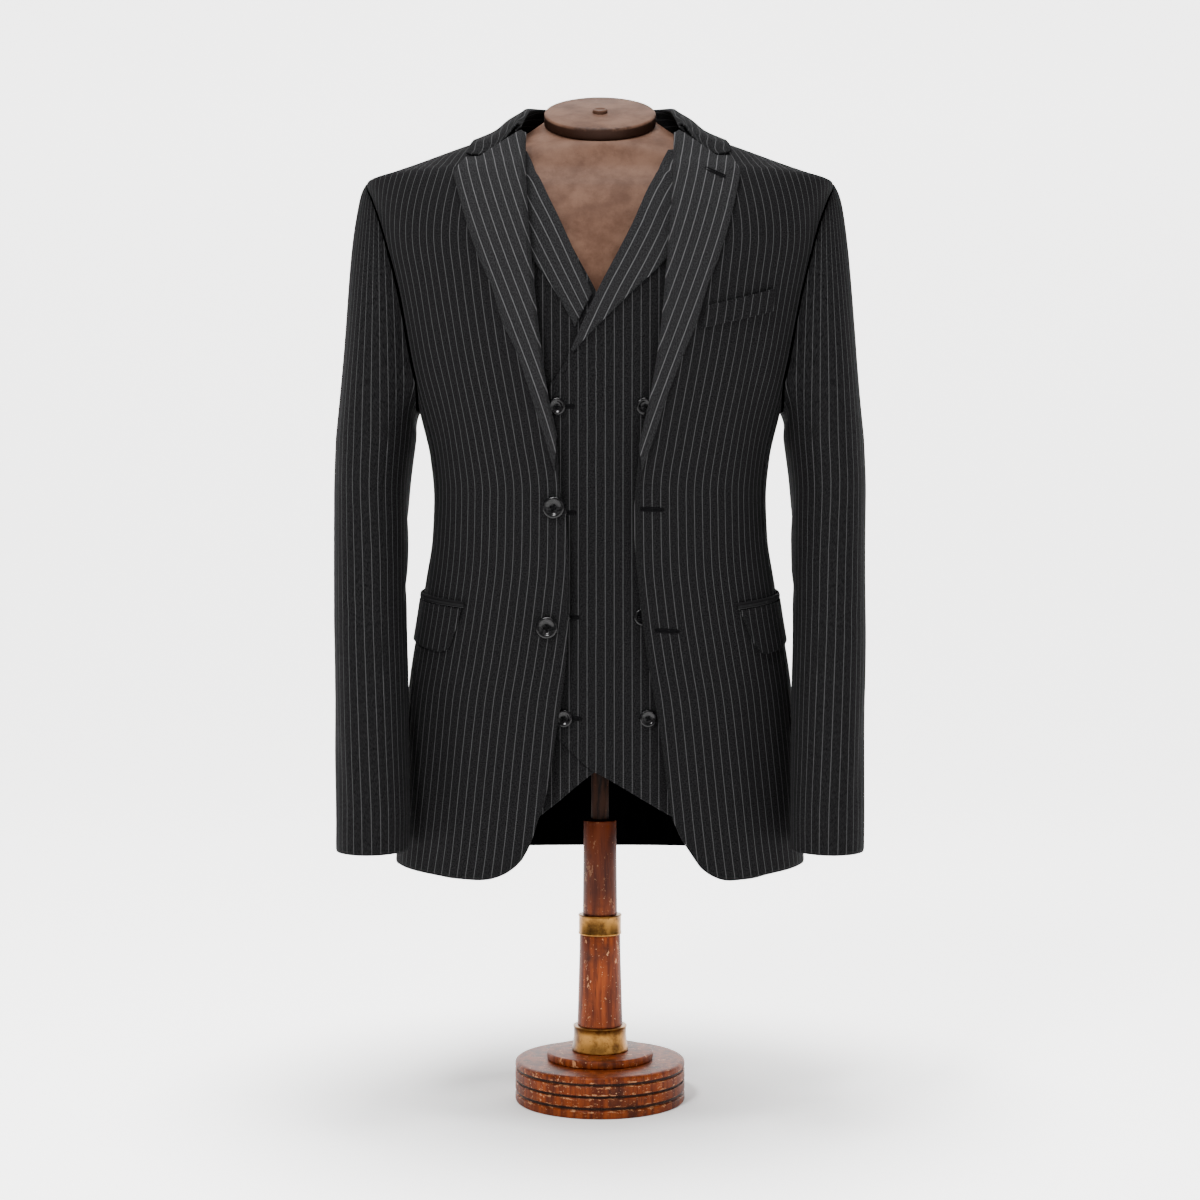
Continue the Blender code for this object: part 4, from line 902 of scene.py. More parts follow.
def jacket_side(side, suffix):
    front = side_seam(FRONT_SEAM, UNDERARM_FRONT)
    back = side_seam(BACK_SEAM, UNDERARM_BACK)
    underarm = armhole_path(UNDERARM_FRONT, UNDERARM_BACK)
    place = patch(front, back, path([front(0.0), back(0.0)]), underarm)
    u, v = grid(24, 80, 0.012, 0.004)
    flat = place(u, v)
    points = body_point(flat)
    relief = troughs(SIDE_CREASES, points[..., 1], flat[..., 1]) * np.sin(math.pi * u)
    item, points = body_wall(
        "jacket_side_" + suffix, sided(flat, side), relief, JACKET_WALL, from_side_middle(flat),
        (CLOTH, LINING),
    )
    hung(item, points)


def jacket_back(side, suffix):
    split = SEAM_SHARE_BACK
    seam = joined(side_seam(BACK_SEAM, UNDERARM_BACK), armhole_path(UNDERARM_BACK, 360), split)
    middle = ROUND * math.pi
    neck_point = np.array((middle / 2, NECK_POINT_HEIGHT))
    nape = np.array((middle, NAPE_HEIGHT))
    neck = path([seam(1.0), neck_point, np.array((0.78 * middle, NAPE_HEIGHT)), nape])
    centre = path([np.array((middle, HEM_BACK)), nape])
    place = patch(seam, centre, path([seam(0.0), centre(0.0)]), neck, NECK_HOLD)
    u, v = grid(BACK_FINISH.columns, BACK_FINISH.rows)
    flat = place(u, crowded(v, split))
    relief = pressed(BACK_CREASES, BACK_FINISH, side, body_point(flat), u, v)
    item, points = body_wall(
        "jacket_back_" + suffix, sided(flat, side), relief, JACKET_WALL, back_stripes(flat),
        (CLOTH, LINING),
    )
    hung(item, points)


def sleeve_ring(height, degrees):
    angle = np.radians(degrees)
    x = TUBE["x"](height) + TUBE["half_width"](height) * np.cos(angle)
    y = TUBE["y"](height) - TUBE["half_depth"](height) * np.sin(angle)
    return np.stack((x, y, height + 0 * angle), -1)


def sleeve_point(degrees, share):
    """The sleeve's outer face: its head from the armhole, then the tube down to the cuff."""
    turn = np.mod(degrees, 360)
    top = SLEEVE[0].height
    low_share = np.maximum(share - CAP_SHARE, 0) / (1 - CAP_SHARE)
    tube = sleeve_ring(mixed(top, SLEEVE[-1].height, low_share), turn)
    flat = from_side(*armhole_place(turn, 1.02))
    upper = (1 + np.cos(np.radians(turn))) / 2
    point, outward = body_frame(flat)
    start = point + column(mixed(UNDERARM_SEAT, SLEEVE_SEAT, upper)) * outward
    end = sleeve_ring(np.full_like(turn, top), turn)
    length = np.linalg.norm(end - start, axis=-1)
    down = column(length) * np.array((0, 0, 1.0))
    rise = start + outward * column(mixed(UNDERARM_RISE, HEAD_RISE, upper)) - START_DROP * down
    fall = end - column(HEAD_PULL * upper) * np.array((1.0, 0, 0)) + FALL_REACH * down
    t = column(np.minimum(share / CAP_SHARE, 1.0))
    head = start * (1 - t)**3 + rise * 3 * t * (1 - t)**2 + fall * 3 * t**2 * (1 - t) + end * t**3
    return np.where(column(share > CAP_SHARE), tube, head)


ELLIPSE_TURNS = np.radians(np.arange(-180, 361))


def ellipse_arcs():
    """How far round the reference ring each whole degree from -180 to 360 is."""
    x = SLEEVE_REFERENCE.half_width * np.cos(ELLIPSE_TURNS)
    y = SLEEVE_REFERENCE.half_depth * np.sin(ELLIPSE_TURNS)
    reach = np.concatenate(((0.0,), np.cumsum(np.hypot(np.diff(x), np.diff(y)))))
    return reach - reach[180]


ELLIPSE_ARCS = ellipse_arcs()


def sleeve_stripes(points, degrees):
    """Across a sleeve from its outermost line, by the turn about its axis at each height."""
    height = np.minimum(points[..., 2], SLEEVE[0].height)
    along_x = (points[..., 0] - TUBE["x"](height)) / TUBE["half_width"](height)
    along_y = -(points[..., 1] - TUBE["y"](height)) / TUBE["half_depth"](height)
    turn = np.arctan2(along_y, along_x)
    turn += 2 * math.pi * np.round((np.radians(degrees) - turn) / (2 * math.pi))
    size = TUBE["half_depth"](height) / SLEEVE_REFERENCE.half_depth
    return np.interp(turn, ELLIPSE_TURNS, ELLIPSE_ARCS) * size**SLEEVE_SPREAD - SLEEVE_STRIPE_START


def sleeve_relief(side, degrees, u, v):
    """The folds of a sleeve, over the cloth round its reference ring and down its length."""
    marks = [
        Crease(
            SLEEVE_ROUND * math.radians(mark.degrees1), SLEEVE_LENGTH * mark.share1,
            SLEEVE_ROUND * math.radians(mark.degrees2), SLEEVE_LENGTH * mark.share2,
            mark.depth, mark.width,
        )
        for mark in SLEEVE_CREASES
    ]
    x, z = SLEEVE_ROUND * np.radians(degrees), SLEEVE_LENGTH * v
    relief = troughs(marks, x, z) + unevenness(side * x, z, SLEEVE_UNEVENNESS, SLEEVE_SEED + side)
    relief *= np.sin(math.pi * u) ** 0.5 * smooth_step(v, 0.02, 0.12) * (1 - smooth_step(v, 0.95, 1.0))
    return np.minimum(relief, 0)


def sleeve(side, suffix):
    """The top and the under panel of a sleeve, which meet at two seams."""
    top_end = TOP_SLEEVE_TURN - SEAM_DEGREES
    under_start = TOP_SLEEVE_TURN + SEAM_DEGREES
    for name, first, last, columns in (
        ("sleeve_top_", -top_end, top_end, 76),
        ("sleeve_under_", under_start, 360 - under_start, 36),
    ):
        u, v = grid(columns, 130)
        degrees = mixed(first, last, u)
        points = sleeve_point(degrees, v)
        turn = np.radians(degrees)
        normals = grid_normals(points, np.stack((np.cos(turn), -np.sin(turn), 0 * v), -1))
        points = points + column(sleeve_relief(side, degrees, u, v)) * normals
        uv = np.stack((sleeve_stripes(points, degrees), length_along(points)), -1)
        item = thin_wall(
            name + suffix, mirrored(points, side), mirrored(normals, side), uv, JACKET_WALL,
            (CLOTH, LINING),
        )
        hung(item, points)


def lapel_lift(share, width, v):
    """How far a lapel stands off: most by its rolled fold, whose start lies in the front's cloth."""
    roll = np.minimum(width / NARROW_LAPEL, 1.0) * LAPEL_ROLL
    lift = LAPEL_LIFT + roll * (1 - smooth_step(share, 0.12, 0.75))
    near_fold = smooth_step(share * width, -0.0040, 0.0012)
    return mixed(-FOLD_SINK, lift, near_fold) + LAPEL_TOP_LIFT * smooth_step(v, 0.5, 0.9)


def lapel_stripes(edge, seen):
    """Across a lapel from its outer edge, straight enough for woven stripes."""
    trace = edge(EDGE_PLACES)
    bend = np.polyfit(trace[:, 1], trace[:, 0], 3)
    slope = np.polyval(np.polyder(bend), seen[..., 1])
    away = (np.polyval(bend, seen[..., 1]) - seen[..., 0]) / np.sqrt(1 + slope**2)
    return away - LAPEL_STRIPE_START


def lapel(side, suffix):
    """The turned-back lapel, drawn as seen from the front, from the roll at the front's edge."""
    roll_line = seen_path(ROLL_LINE[side][1:])
    edge = seen_path(LAPEL_EDGE[side])
    corner = np.array(NOTCH_CORNER[side]) - NOTCH_GAP
    mouth = np.array(NOTCH_MOUTH[side]) - MOUTH_GAP
    top = along((0.0, CORNER_SHARE, MOUTH_SHARE, 1.0), (roll_line(1.0), corner, mouth, edge(1.0)))
    place = patch(roll_line, edge, straight(roll_line(0.0), edge(0.0)), top)
    corners = (0.985, CORNER_SHARE, MOUTH_SHARE)
    shares = np.unique(np.concatenate((np.linspace(0, 0.12, 7), np.linspace(0.12, 1, 32), corners)))
    rows = places(100, 0.004)
    u, v = np.meshgrid(np.concatenate(((-1.0, -0.5), shares)), rows, indexing="ij")
    v = crowded(v, 0.0)
    width = np.linalg.norm(edge(v) - roll_line(v), axis=-1)
    share = np.where(u < 0, u * 0.004 / width, u)
    seen = place(np.maximum(share, 0), v) + column(np.minimum(share, 0)) * (edge(v) - roll_line(v))
    flat = from_front(seen, LAPEL_LIFT)
    item, points = body_wall(
        "lapel_" + suffix, sided(flat, side), lapel_lift(share, width, v), TRIM_WALL,
        # the lapel's lighter cloth is painted light
        lapel_stripes(edge, seen), (PAINTED_LIGHT_LAPEL_CLOTH, CLOTH),
    )
    hung(item, points)


def collar_lines(share, side):
    """The collar's lines of points, from its lower edge over the fold down to the stand's end."""
    stations = columns_of(COLLAR_STATIONS, "share")
    row = {name: reading(share) for name, reading in stations.items()}
    edge = np.stack((ROUND * np.radians(row["edge_turn"]), row["edge_height"]), -1)
    neck = np.stack((ROUND * np.radians(row["neck_turn"]), row["neck_height"]), -1)
    fold = np.stack((row["fold_x"], row["fold_y"], row["fold_height"]), -1)
    blend = smooth_step(share, 0.0, NOTCH_BLEND)
    corner, mouth = (
        np.where(
            column(side > 0),
            from_front(np.array(spots[1]) + COLLAR_GAP, LAPEL_LIFT),
            from_front(np.array(spots[-1]) + COLLAR_GAP, LAPEL_LIFT),
        )
        for spots in (NOTCH_CORNER, NOTCH_MOUTH)
    )
    low = mixed(mouth, edge, column(blend))
    middle = mixed(corner, mixed(edge, neck, COLLAR_MIDDLE), column(blend))
    high = mixed(mixed(corner, neck, GORGE_HIGH), mixed(edge, neck, COLLAR_HIGH), column(blend))
    away = unit(fold * np.array((1.0, 1.0, 0))) * FOLD_RADIUS
    drop = np.array((0, 0, -FOLD_DROP * FOLD_RADIUS))
    stand = body_point(neck - np.array((0, STAND_DROP)), 2 * TRIM_GAP)
    fall = [
        body_point(line, LAPEL_LIFT + mixed(lift.notch, lift.round, blend))
        for line, lift in ((low, LOW_LIFT), (middle, MIDDLE_LIFT), (high, HIGH_LIFT))
    ]
    return np.stack((
        *fall,
        fold + away + drop,
        fold,
        fold - away + drop,
        mixed(fold + STAND_END, stand, column(blend)),
    ), 0)


def collar():
    """The collar's fall, fold and stand, one folded wall round the neck."""
    u, v = np.meshgrid(places(150, 0.003), places(44, 0.010), indexing="ij")
    share, side = 1 - np.abs(2 * u - 1), np.where(u < 0.5, -1, 1)
    rows = collar_lines(share, side)
    points = np.empty(u.shape + (3,))
    for i in range(u.shape[0]):
        for axis in range(3):
            points[i, :, axis] = spline(COLLAR_PLACES, rows[:, i, 0, axis])(v[i])
    points[..., 0] *= side
    visible = points * (np.arange(points.shape[1]) < COLLAR_FALL_ROWS)[None, :, None]
    normals = grid_normals(points, visible * np.array((1.0, 1.0, 0)))
    steps = np.cumsum(np.full(u.shape, COLLAR_STEP), axis=0)
    uv = np.stack((length_along(points) - COLLAR_STRIPE_START, steps), -1)
    item = thin_wall("collar", points, normals, uv, TRIM_WALL, (CLOTH, CLOTH))
    hung(item, points)


def strip(low, high):
    """A patch between two low places and the two high places over them."""
    return patch(path([low[0], high[0]]), path([low[1], high[1]]), path(low), path(high))


def flap_jet(side, suffix, top_front, top_rear):
    """The narrow folded jet above a flap."""
    low = [top_front + np.array((-JET_REACH, TRIM_GAP)), top_rear + np.array((JET_REACH, TRIM_GAP))]
    u, v = grid(50, 8, 0.008, 0.08)
    flat = strip(low, [flat + np.array((0, JET_HEIGHT)) for flat in low])(u, v)
    jet, _ = body_wall(
        "flap_welt_" + suffix, sided(flat, side), LAPEL_LIFT + JET_ROUNDING * np.sin(math.pi * v),
        TRIM_WALL, JET_HEIGHT * v + JET_STRIPE, (CLOTH, CLOTH),
    )
    return jet


def flap(side, suffix):
    """A hip pocket's flap, from its front corner round to its rear end, with the jet above it."""
    top_front = from_front((abs(FLAP[side][0].x), FLAP[side][0].height), LAPEL_LIFT)
    low_front = from_front((abs(FLAP[side][1].x), FLAP[side][1].height), LAPEL_LIFT)
    top_rear = from_side(np.asarray(FLAP_REAR_Y), np.asarray(FLAP_REAR_TOP))
    low_rear = top_rear - np.array((0, FLAP_HEIGHT))
    corner = mixed(low_front, low_rear, FLAP_ROUNDING)
    rounded = [top_front, mixed(top_front, low_front, 1 - 1.4 * FLAP_ROUNDING), corner]
    place = patch(
        path(rounded), path([top_rear, low_rear]), path([top_front, top_rear]), path([corner, low_rear])
    )
    u, v = grid(50, 22, 0.008, 0.02)
    flat = place(u, v)
    item, points = body_wall(
        "flap_" + suffix, sided(flat, side), FLAP_LIFT - FLAP_CLING * np.sin(math.pi * u) * v, TRIM_WALL,
        from_front_grain(flat), (CLOTH, LINING),
    )
    jet = flap_jet(side, suffix, top_front, top_rear)
    hung(item, points)


def breast_welt():
    low = [from_front(spot, LAPEL_LIFT) for spot in WELT_LOW]
    high = [from_front(spot, LAPEL_LIFT) for spot in WELT_HIGH]
    u, v = grid(40, 14, 0.012, 0.04)
    flat = strip(low, high)(u, v)
    item, points = body_wall(
        "breast_welt", flat, LAPEL_LIFT, TRIM_WALL, from_front_grain(flat), (CLOTH, CLOTH)
    )
    hung(item, points)


def level_at(level, height, start=RISE_START):
    """How far off the body sections a layer is, which comes nearer them over the shoulder."""
    return mixed(level.body, level.shoulder, smooth_step(height, start, RISE_END))


def vest_front(name, side, edge, hem, level):
    """A waistcoat front on the wearer's left, or on the right where side is -1."""
    lift = level.body
    quarter = ROUND * math.pi / 2
    shoulder = [np.array((quarter, height)) for height in (VEST_NECK_HEIGHT, VEST_SHOULDER_HEIGHT)]
    armhole = [np.array((quarter, VEST_SIDE_TOP))]
    armhole += [from_front(spot, lift) for spot in VEST_ARMHOLE] + [shoulder[1]]
    side_low = np.array((quarter, VEST_SIDE_HEM))
    split = SEAM_SHARE_VEST
    right = joined(path([side_low, armhole[0]]), path(armhole), split)
    left = path(list(from_front(seen_path(edge)(EDGE_PLACES), lift)) + [shoulder[0]])
    low = path([from_front(spot, lift) for spot in hem] + [side_low])
    place = patch(left, right, low, path(shoulder))
    u, v = grid(VEST_FINISH.columns, VEST_FINISH.rows)
    flat = place(u, crowded(v, split))
    relief = pressed(VEST_CREASES, VEST_FINISH, side, body_point(flat), u, v)
    item, points = body_wall(
        name, sided(flat, side), level_at(level, flat[..., 1]) + relief, VEST_WALL,
        from_centre_front(sided(flat, side), 0.0) - VEST_STRIPE_START, (CLOTH, LINING),
    )
    hung(item, points)


def vest_back():
    quarter = ROUND * math.pi / 2
    half = [np.array((quarter, VEST_SIDE_TOP))]
    half += [from_back(spot, VEST_BACK_LEVEL.body) for spot in VEST_ARMHOLE]
    half += [np.array((quarter, VEST_SHOULDER_HEIGHT))]
    split = SEAM_SHARE_VEST
    left = joined(path([np.array((quarter, VEST_SIDE_HEM)), half[0]]), path(half), split)

    def right(t):
        flat = left(t)
        return np.stack((4 * quarter - flat[..., 0], flat[..., 1]), -1)

    neck = [left(1.0), np.array((quarter, VEST_NECK_HEIGHT)), np.array((1.5 * quarter, VEST_NAPE_HEIGHT))]
    neck += [np.array((2 * quarter, VEST_NAPE_HEIGHT))]
    neck += [np.array((4 * quarter - flat[0], flat[1])) for flat in neck[-2::-1]]
    place = patch(left, right, path([left(0.0), right(0.0)]), path(neck), VEST_NECK_HOLD)
    u, v = grid(110, 100, 0.003, 0.003)
    flat = place(u, crowded(v, split))
    item, points = body_wall(
        "vest_back", flat, level_at(VEST_BACK_LEVEL, flat[..., 1]), VEST_WALL, from_centre_back(flat, 0.0),
        (LINING, LINING), "black_lining",
    )
    hung(item, points)


def vest_lapel(name, edges, level):
    inner, outer = (list(from_front(seen_path(edge)(EDGE_PLACES), level.body)) for edge in edges)
    place = patch(path(inner), path(outer), path([inner[0], outer[0]]), path([inner[-1], outer[-1]]))
    u, v = grid(26, 80, 0.02, 0.006)
    flat = place(u, v)
    lift = level_at(level, flat[..., 1]) + 0.0003 * np.sin(math.pi * np.minimum(2 * u, 1))
    points, _ = body_frame(flat)
    across = np.linalg.norm(np.diff(points, axis=0), axis=-1)
    across = np.concatenate((np.zeros((1, points.shape[1])), np.cumsum(across, axis=0)))
    rise = np.gradient(points[0], axis=0)
    lean = np.abs(rise[:, 2]) / np.linalg.norm(rise, axis=-1)
    stripes = across * lean[None, :] - VEST_LAPEL_STRIPE_START
    # the lapel's lighter cloth is painted light
    item, points = body_wall(name, flat, lift, VEST_WALL, stripes, (PAINTED_LIGHT_LAPEL_CLOTH, LINING))
    hung(item, points)


def back_lining():
    middle = ROUND * math.pi
    reach = LINING_REACH * middle
    corners = [np.array((reach, LINING_HEM)), np.array((2 * middle - reach, LINING_HEM))]
    u, v = grid(70, 30, 0.004, 0.008)
    flat = strip(corners, [np.array((flat[0], LINING_TOP)) for flat in corners])(u, v)
    relief = np.minimum(troughs(LINING_CREASES, body_point(flat)[..., 0], flat[..., 1]), 0)
    item, points = body_wall(
        "back_lining", flat, LINING_LEVEL + 0.6 * relief, LINING_WALL, from_centre_back(flat, 0.0),
        (LINING, LINING), "black_lining",
    )
    hung(item, points)


def lathe(name, profile, sides, materials, sharp_degrees=BUTTON_SHARP, scale=(1.0, 1.0, 1.0)):
    """A turned mesh about the Z axis from its profile, top to bottom on the outside."""
    turns = np.linspace(0, 2 * math.pi, sides, endpoint=False)
    rows = [row for row in profile if row.radius > 0]
    points = [
        (row.radius * math.cos(turn), row.radius * math.sin(turn), row.height)
        for row in rows
        for turn in turns
    ]
    points += [(0, 0, profile[0].height), (0, 0, profile[-1].height)]
    points = (np.array(points) * scale).tolist()
    top, low = len(points) - 2, len(points) - 1
    last = (len(rows) - 1) * sides
    faces = []
    for i in range(sides):
        j = (i + 1) % sides
        for start in range(0, last, sides):
            faces.append((start + j, start + i, start + sides + i, start + sides + j))
        faces.append((top, i, j))
        faces.append((low, last + j, last + i))
    return new_mesh(name, points, faces, materials, sharp_degrees)


def tube(points, radius, sides=10):
    """The points and faces of a capped tube along a line of points."""
    line = np.asarray(points, float)
    run = unit(np.gradient(line, axis=0))
    aside = unit(np.cross(run, (0.0, 0.0, 1.0)) + 1e-9 * np.array((1.0, 0, 0)))
    above = np.cross(aside, run)
    turns = np.linspace(0, 2 * math.pi, sides, endpoint=False)
    rings = line[:, None] + radius * (
        np.cos(turns)[None, :, None] * aside[:, None] + np.sin(turns)[None, :, None] * above[:, None]
    )
    return rings.reshape(-1, 3), ring_faces(len(line), sides)


def merged(parts):
    """Several (points, faces) as one, for a mesh."""
    points, faces, start = [], [], 0
    for some_points, some_faces in parts:
        points.append(some_points)
        faces += [tuple(start + i for i in face) for face in some_faces]
        start += len(some_points)
    return np.concatenate(points), faces


def with_holes(mesh, radius, depth):
    """The button with its four thread holes cut through."""
    blank = linked("blank", mesh)
    shape = bmesh.new()
    spread, size = HOLE_SPREAD * radius, HOLE_RADIUS * radius
    for across, along_y in ((1, 1), (1, -1), (-1, 1), (-1, -1)):
        bmesh.ops.create_cone(
            shape, cap_ends=True, segments=20, radius1=size, radius2=size, depth=3 * depth,
            matrix=Matrix.Translation((across * spread, along_y * spread, depth / 2)),
        )
    holes = bpy.data.meshes.new("holes")
    shape.to_mesh(holes)
    shape.free()
    cutter = linked("cutter", holes)
    cut = blank.modifiers.new("Holes", "BOOLEAN")
    cut.operation = "DIFFERENCE"
    cut.object = cutter
    graph = bpy.context.evaluated_depsgraph_get()
    finished = bpy.data.meshes.new_from_object(blank.evaluated_get(graph))
    bpy.data.objects.remove(blank, do_unlink=True)
    bpy.data.objects.remove(cutter, do_unlink=True)
    finished.shade_smooth()
    finished.set_sharp_from_angle(angle=math.radians(BUTTON_SHARP))
    return finished


def thread_mesh(spool):
    """Two crossed threads through the holes, two strands each way."""
    radius, face = spool.diameter / 2, BUTTON_FACE * spool.thickness
    spread = HOLE_SPREAD * radius
    parts = []
    for way in (1, -1):
        for strand in (-1, 1):
            t = np.linspace(-1, 1, 13)
            aside = strand * THREAD_RADIUS
            x, y = spread * t + way * aside, way * spread * t - aside
            z = face + THREAD_ARCH * (1 - t**4) - THREAD_DIP * np.abs(t) ** 6
            z += THREAD_CROSSING if way > 0 else 0
            parts.append(tube(np.stack((x, y, z), -1), THREAD_RADIUS))
    return merged(parts)


def seat_of(spot, lift):
    """The matrix of something that lies on the body sections at a spot seen from the front."""
    point, normal = body_frame(from_front(np.array((spot[0], spot[1])), lift))
    seat = Vector(point + lift * normal)
    up = Vector(normal)
    across = Vector((1, 0, 0)) - up * up.x
    across.normalize()
    above = up.cross(across)
    return Matrix.Translation(seat) @ Matrix((across, above, up)).transposed().to_4x4()


def horn_blank(spool):
    """A button without its thread, at the origin."""
    radius = spool.diameter / 2
    profile = [Turned(row.radius * radius, row.height * spool.thickness) for row in BUTTON_PROFILE]
    return with_holes(lathe("button", profile, 64, (HORN, THREAD)), radius, spool.thickness)


def threaded(blank, spool, place):
    """A copy of a blank with its thread, moved to its place."""
    mesh = blank.copy()
    shape = bmesh.new()
    shape.from_mesh(mesh)
    points, faces = thread_mesh(spool)
    added = [shape.verts.new(point) for point in points]
    for face in faces:
        new = shape.faces.new([added[i] for i in face])
        new.material_index = 1
        new.smooth = True
    shape.to_mesh(mesh)
    shape.free()
    mesh.transform(place)
    return mesh


def button_row(kind, spool, spots, lift, first_turn):
    """The buttons of one garment, each turned a little further than the one before."""
    blank = horn_blank(spool)
    for number, spot in enumerate(spots, 1):
        name = "%s_button_%d" % (kind, number)
        turn = Matrix.Rotation(math.radians(BUTTON_TURN * number + first_turn), 4, "Z")
        piece(name + "_horn", threaded(blank, spool, seat_of(spot, lift) @ turn), "black_horn", (name,))


def buttons():
    vest_spots = [
        Spot(x, height)
        for column_x in VEST_BUTTON_COLUMNS
        for x, height in zip(column_x, VEST_BUTTON_ROWS)
    ]
    button_row("jacket", JACKET_BUTTON, JACKET_BUTTON_SPOTS, BUTTON_GAP, 4)
    button_row("vest", VEST_BUTTON, vest_spots, OVER_FRONT.body + BUTTON_GAP, 11)


def hole_loop(length, width, cord):
    """A buttonhole's stitched edge, a flat oval ring of close stitches round a slit, with a dark strip in
    the slit as painted shade.
    """
    count = 110
    half = length / 2 - width / 2
    around = np.linspace(0, 2 * math.pi, count, endpoint=False)
    x = half * np.clip(1.35 * np.cos(around), -1, 1) + width / 2 * np.cos(around)
    y = width / 2 * signed_power(np.sin(around), 0.7)
    line = np.stack((x, y, np.full(count, 0.25 * cord)), -1)
    run = unit(np.roll(line, -1, axis=0) - np.roll(line, 1, axis=0))
    aside = np.cross(run, (0.0, 0.0, 1.0))
    sides = 8
    turns = np.linspace(0, 2 * math.pi, sides, endpoint=False)
    swell = cord * (1 + 0.22 * np.cos(np.arange(count) * math.pi))
    rings = line[:, None] + swell[:, None, None] * (
        np.cos(turns)[None, :, None] * aside[:, None]
        + 0.55 * np.sin(turns)[None, :, None] * np.array((0, 0, 1.0))
    )
    faces = [(face[0], *face[:0:-1]) for face in ring_faces(count, sides, closed=True)]
    # Painted shade: a dark flattened strip of thread along the slit.
    middle = np.linspace(-half, half, 12)
    slit, slit_faces = tube(np.stack((middle, 0 * middle, 0 * middle), -1), 0.20 * width, sides)
    return merged(((rings.reshape(-1, 3), faces), (slit * np.array((1, 1, 0.4)), slit_faces)))


def buttonholes():
    marks = list(BUTTONHOLES)
    marks += [
        Buttonhole(x + VEST_HOLE_REACH, height, VEST_HOLE_LENGTH, 0, OVER_FRONT.body)
        for x, height in zip(VEST_BUTTON_COLUMNS[0], VEST_BUTTON_ROWS)
    ]
    parts = []
    for mark in marks:
        points, faces = hole_loop(mark.length, HOLE_WIDTH, HOLE_CORD)
        turn = Matrix.Rotation(math.radians(mark.degrees), 4, "Z")
        place = np.array(seat_of((mark.x, mark.height), mark.lift) @ turn)
        parts.append((points @ place[:3, :3].T + place[:3, 3], faces))
    points, faces = merged(parts)
    mesh = new_mesh("buttonholes", points.tolist(), faces, (THREAD,))
    piece("buttonhole_stitches", mesh, "pinstripe_cloth")


def form_rings(turns):
    """The torso's rings from its hip up, and the tilted ones of its neck."""
    rings = []
    for number, ring in enumerate(FORM_RINGS):
        end = np.where(np.cos(turns) > 0, ring.front, ring.back)
        height = mixed(ring.side, end, np.cos(turns) ** 2)
        level = level_at(FORM_LEVEL, height, FORM_RISE_START)
        flat = np.stack((ROUND * np.where(turns > math.pi, turns - 2 * math.pi, turns), height), -1)
        points = body_point(flat, level)
        if number == 0:
            points[:, 2] = ring.side
        rings.append(points)
    for ring in NECK_RINGS:
        forward = ring.half_depth * np.cos(turns)
        y, z = ring.y - forward * math.cos(ring.tilt), ring.height - forward * math.sin(ring.tilt)
        rings.append(np.stack((ring.half_width * np.sin(turns), y, z), -1))
    return np.array(rings)


def lofted(rings, count):
    """Rings close together on smooth curves through the given ones."""
    reach = np.linalg.norm(np.diff(rings, axis=0), axis=-1).mean(axis=1)
    reach = np.concatenate(((0.0,), np.cumsum(reach)))
    rows = np.unique(np.concatenate((reach, np.linspace(0, reach[-1], count))))
    smooth = np.empty((len(rows), *rings.shape[1:]))
    for i in range(rings.shape[1]):
        for axis in range(3):
            smooth[:, i, axis] = spline(reach, rings[:, i, axis])(rows)
    return smooth


def form_torso():
    """The limbless torso, lofted from its hip up to the tilted neck."""
    turns = np.linspace(0, 2 * math.pi, 120, endpoint=False)
    rings = lofted(form_rings(turns), 90)
    faces = ring_faces(len(rings), len(turns))
    mesh = new_mesh("form_torso", rings.reshape(-1, 3).tolist(), faces, (COVER,), CAP_SHARP)
    piece("form_torso_cover", mesh, "brown_form_cover", ("form_torso",))


def neck_parts():
    """The wooden cap on the neck's tilted cut, and the plug in its middle."""
    tilt = Matrix.Translation(CAP_CENTRE) @ Matrix.Rotation(NECK_TILT, 4, "X")
    low = CAP_GAP - CAP_THICKNESS
    cap = (
        Turned(0.0, 0.0), Turned(0.955, 0.0), Turned(0.978, -0.0004), Turned(0.994, -0.0014),
        Turned(1.0, -0.0030),
        Turned(1.0, low + 0.0014), Turned(0.994, low + 0.0004), Turned(0.98, low), Turned(0.0, low),
    )
    mesh = lathe("neck_cap", cap, TURNED_SIDES, (CAP,), CAP_SHARP, (CAP_HALF_WIDTH, CAP_HALF_DEPTH, 1.0))
    mesh.transform(tilt)
    piece("neck_cap_wood", mesh, "varnished_wood", ("neck_cap",))
    top = CAP_GAP + PLUG_HEIGHT
    plug = (
        Turned(0.0, top - 0.0004), Turned(0.62, top - 0.0004), Turned(0.70, top), Turned(0.88, top),
        Turned(0.97, top - 0.0004), Turned(1.0, top - 0.0012), Turned(1.0, CAP_GAP), Turned(0.0, CAP_GAP),
    )
    mesh = lathe("neck_plug", plug, 48, (CAP,), CAP_SHARP, (PLUG_RADIUS, PLUG_RADIUS, 1.0))
    mesh.transform(tilt)
    piece("neck_plug_wood", mesh, "varnished_wood", ("neck_plug",))


def stand():
    for name, profile, material, slot in (
        ("base", BASE_PROFILE, BASE_WOOD, "varnished_wood"),
        ("disc", DISC_PROFILE, WOOD, "varnished_wood"),
        ("collar_lower", COLLAR_LOWER_PROFILE, BRASS, "aged_brass"),
        ("column_lower", COLUMN_LOWER_PROFILE, WOOD, "varnished_wood"),
        ("ring_upper", RING_UPPER_PROFILE, BRASS, "aged_brass"),
        ("column_upper", COLUMN_UPPER_PROFILE, WOOD, "varnished_wood"),
        ("post", POST_PROFILE, POST, "dark_post"),
    ):
        piece(name + "_turned", lathe(name, profile, TURNED_SIDES, (material,)), slot, (name,))


def new_shader(name, roughness, specular=0.5, metallic=0.0):
    material = bpy.data.materials.new(name)
    material.use_nodes = True
    shader = material.node_tree.nodes["Principled BSDF"]
    shader.inputs["Roughness"].default_value = roughness
    shader.inputs["Specular IOR Level"].default_value = specular
    shader.inputs["Metallic"].default_value = metallic
    return material, material.node_tree, shader


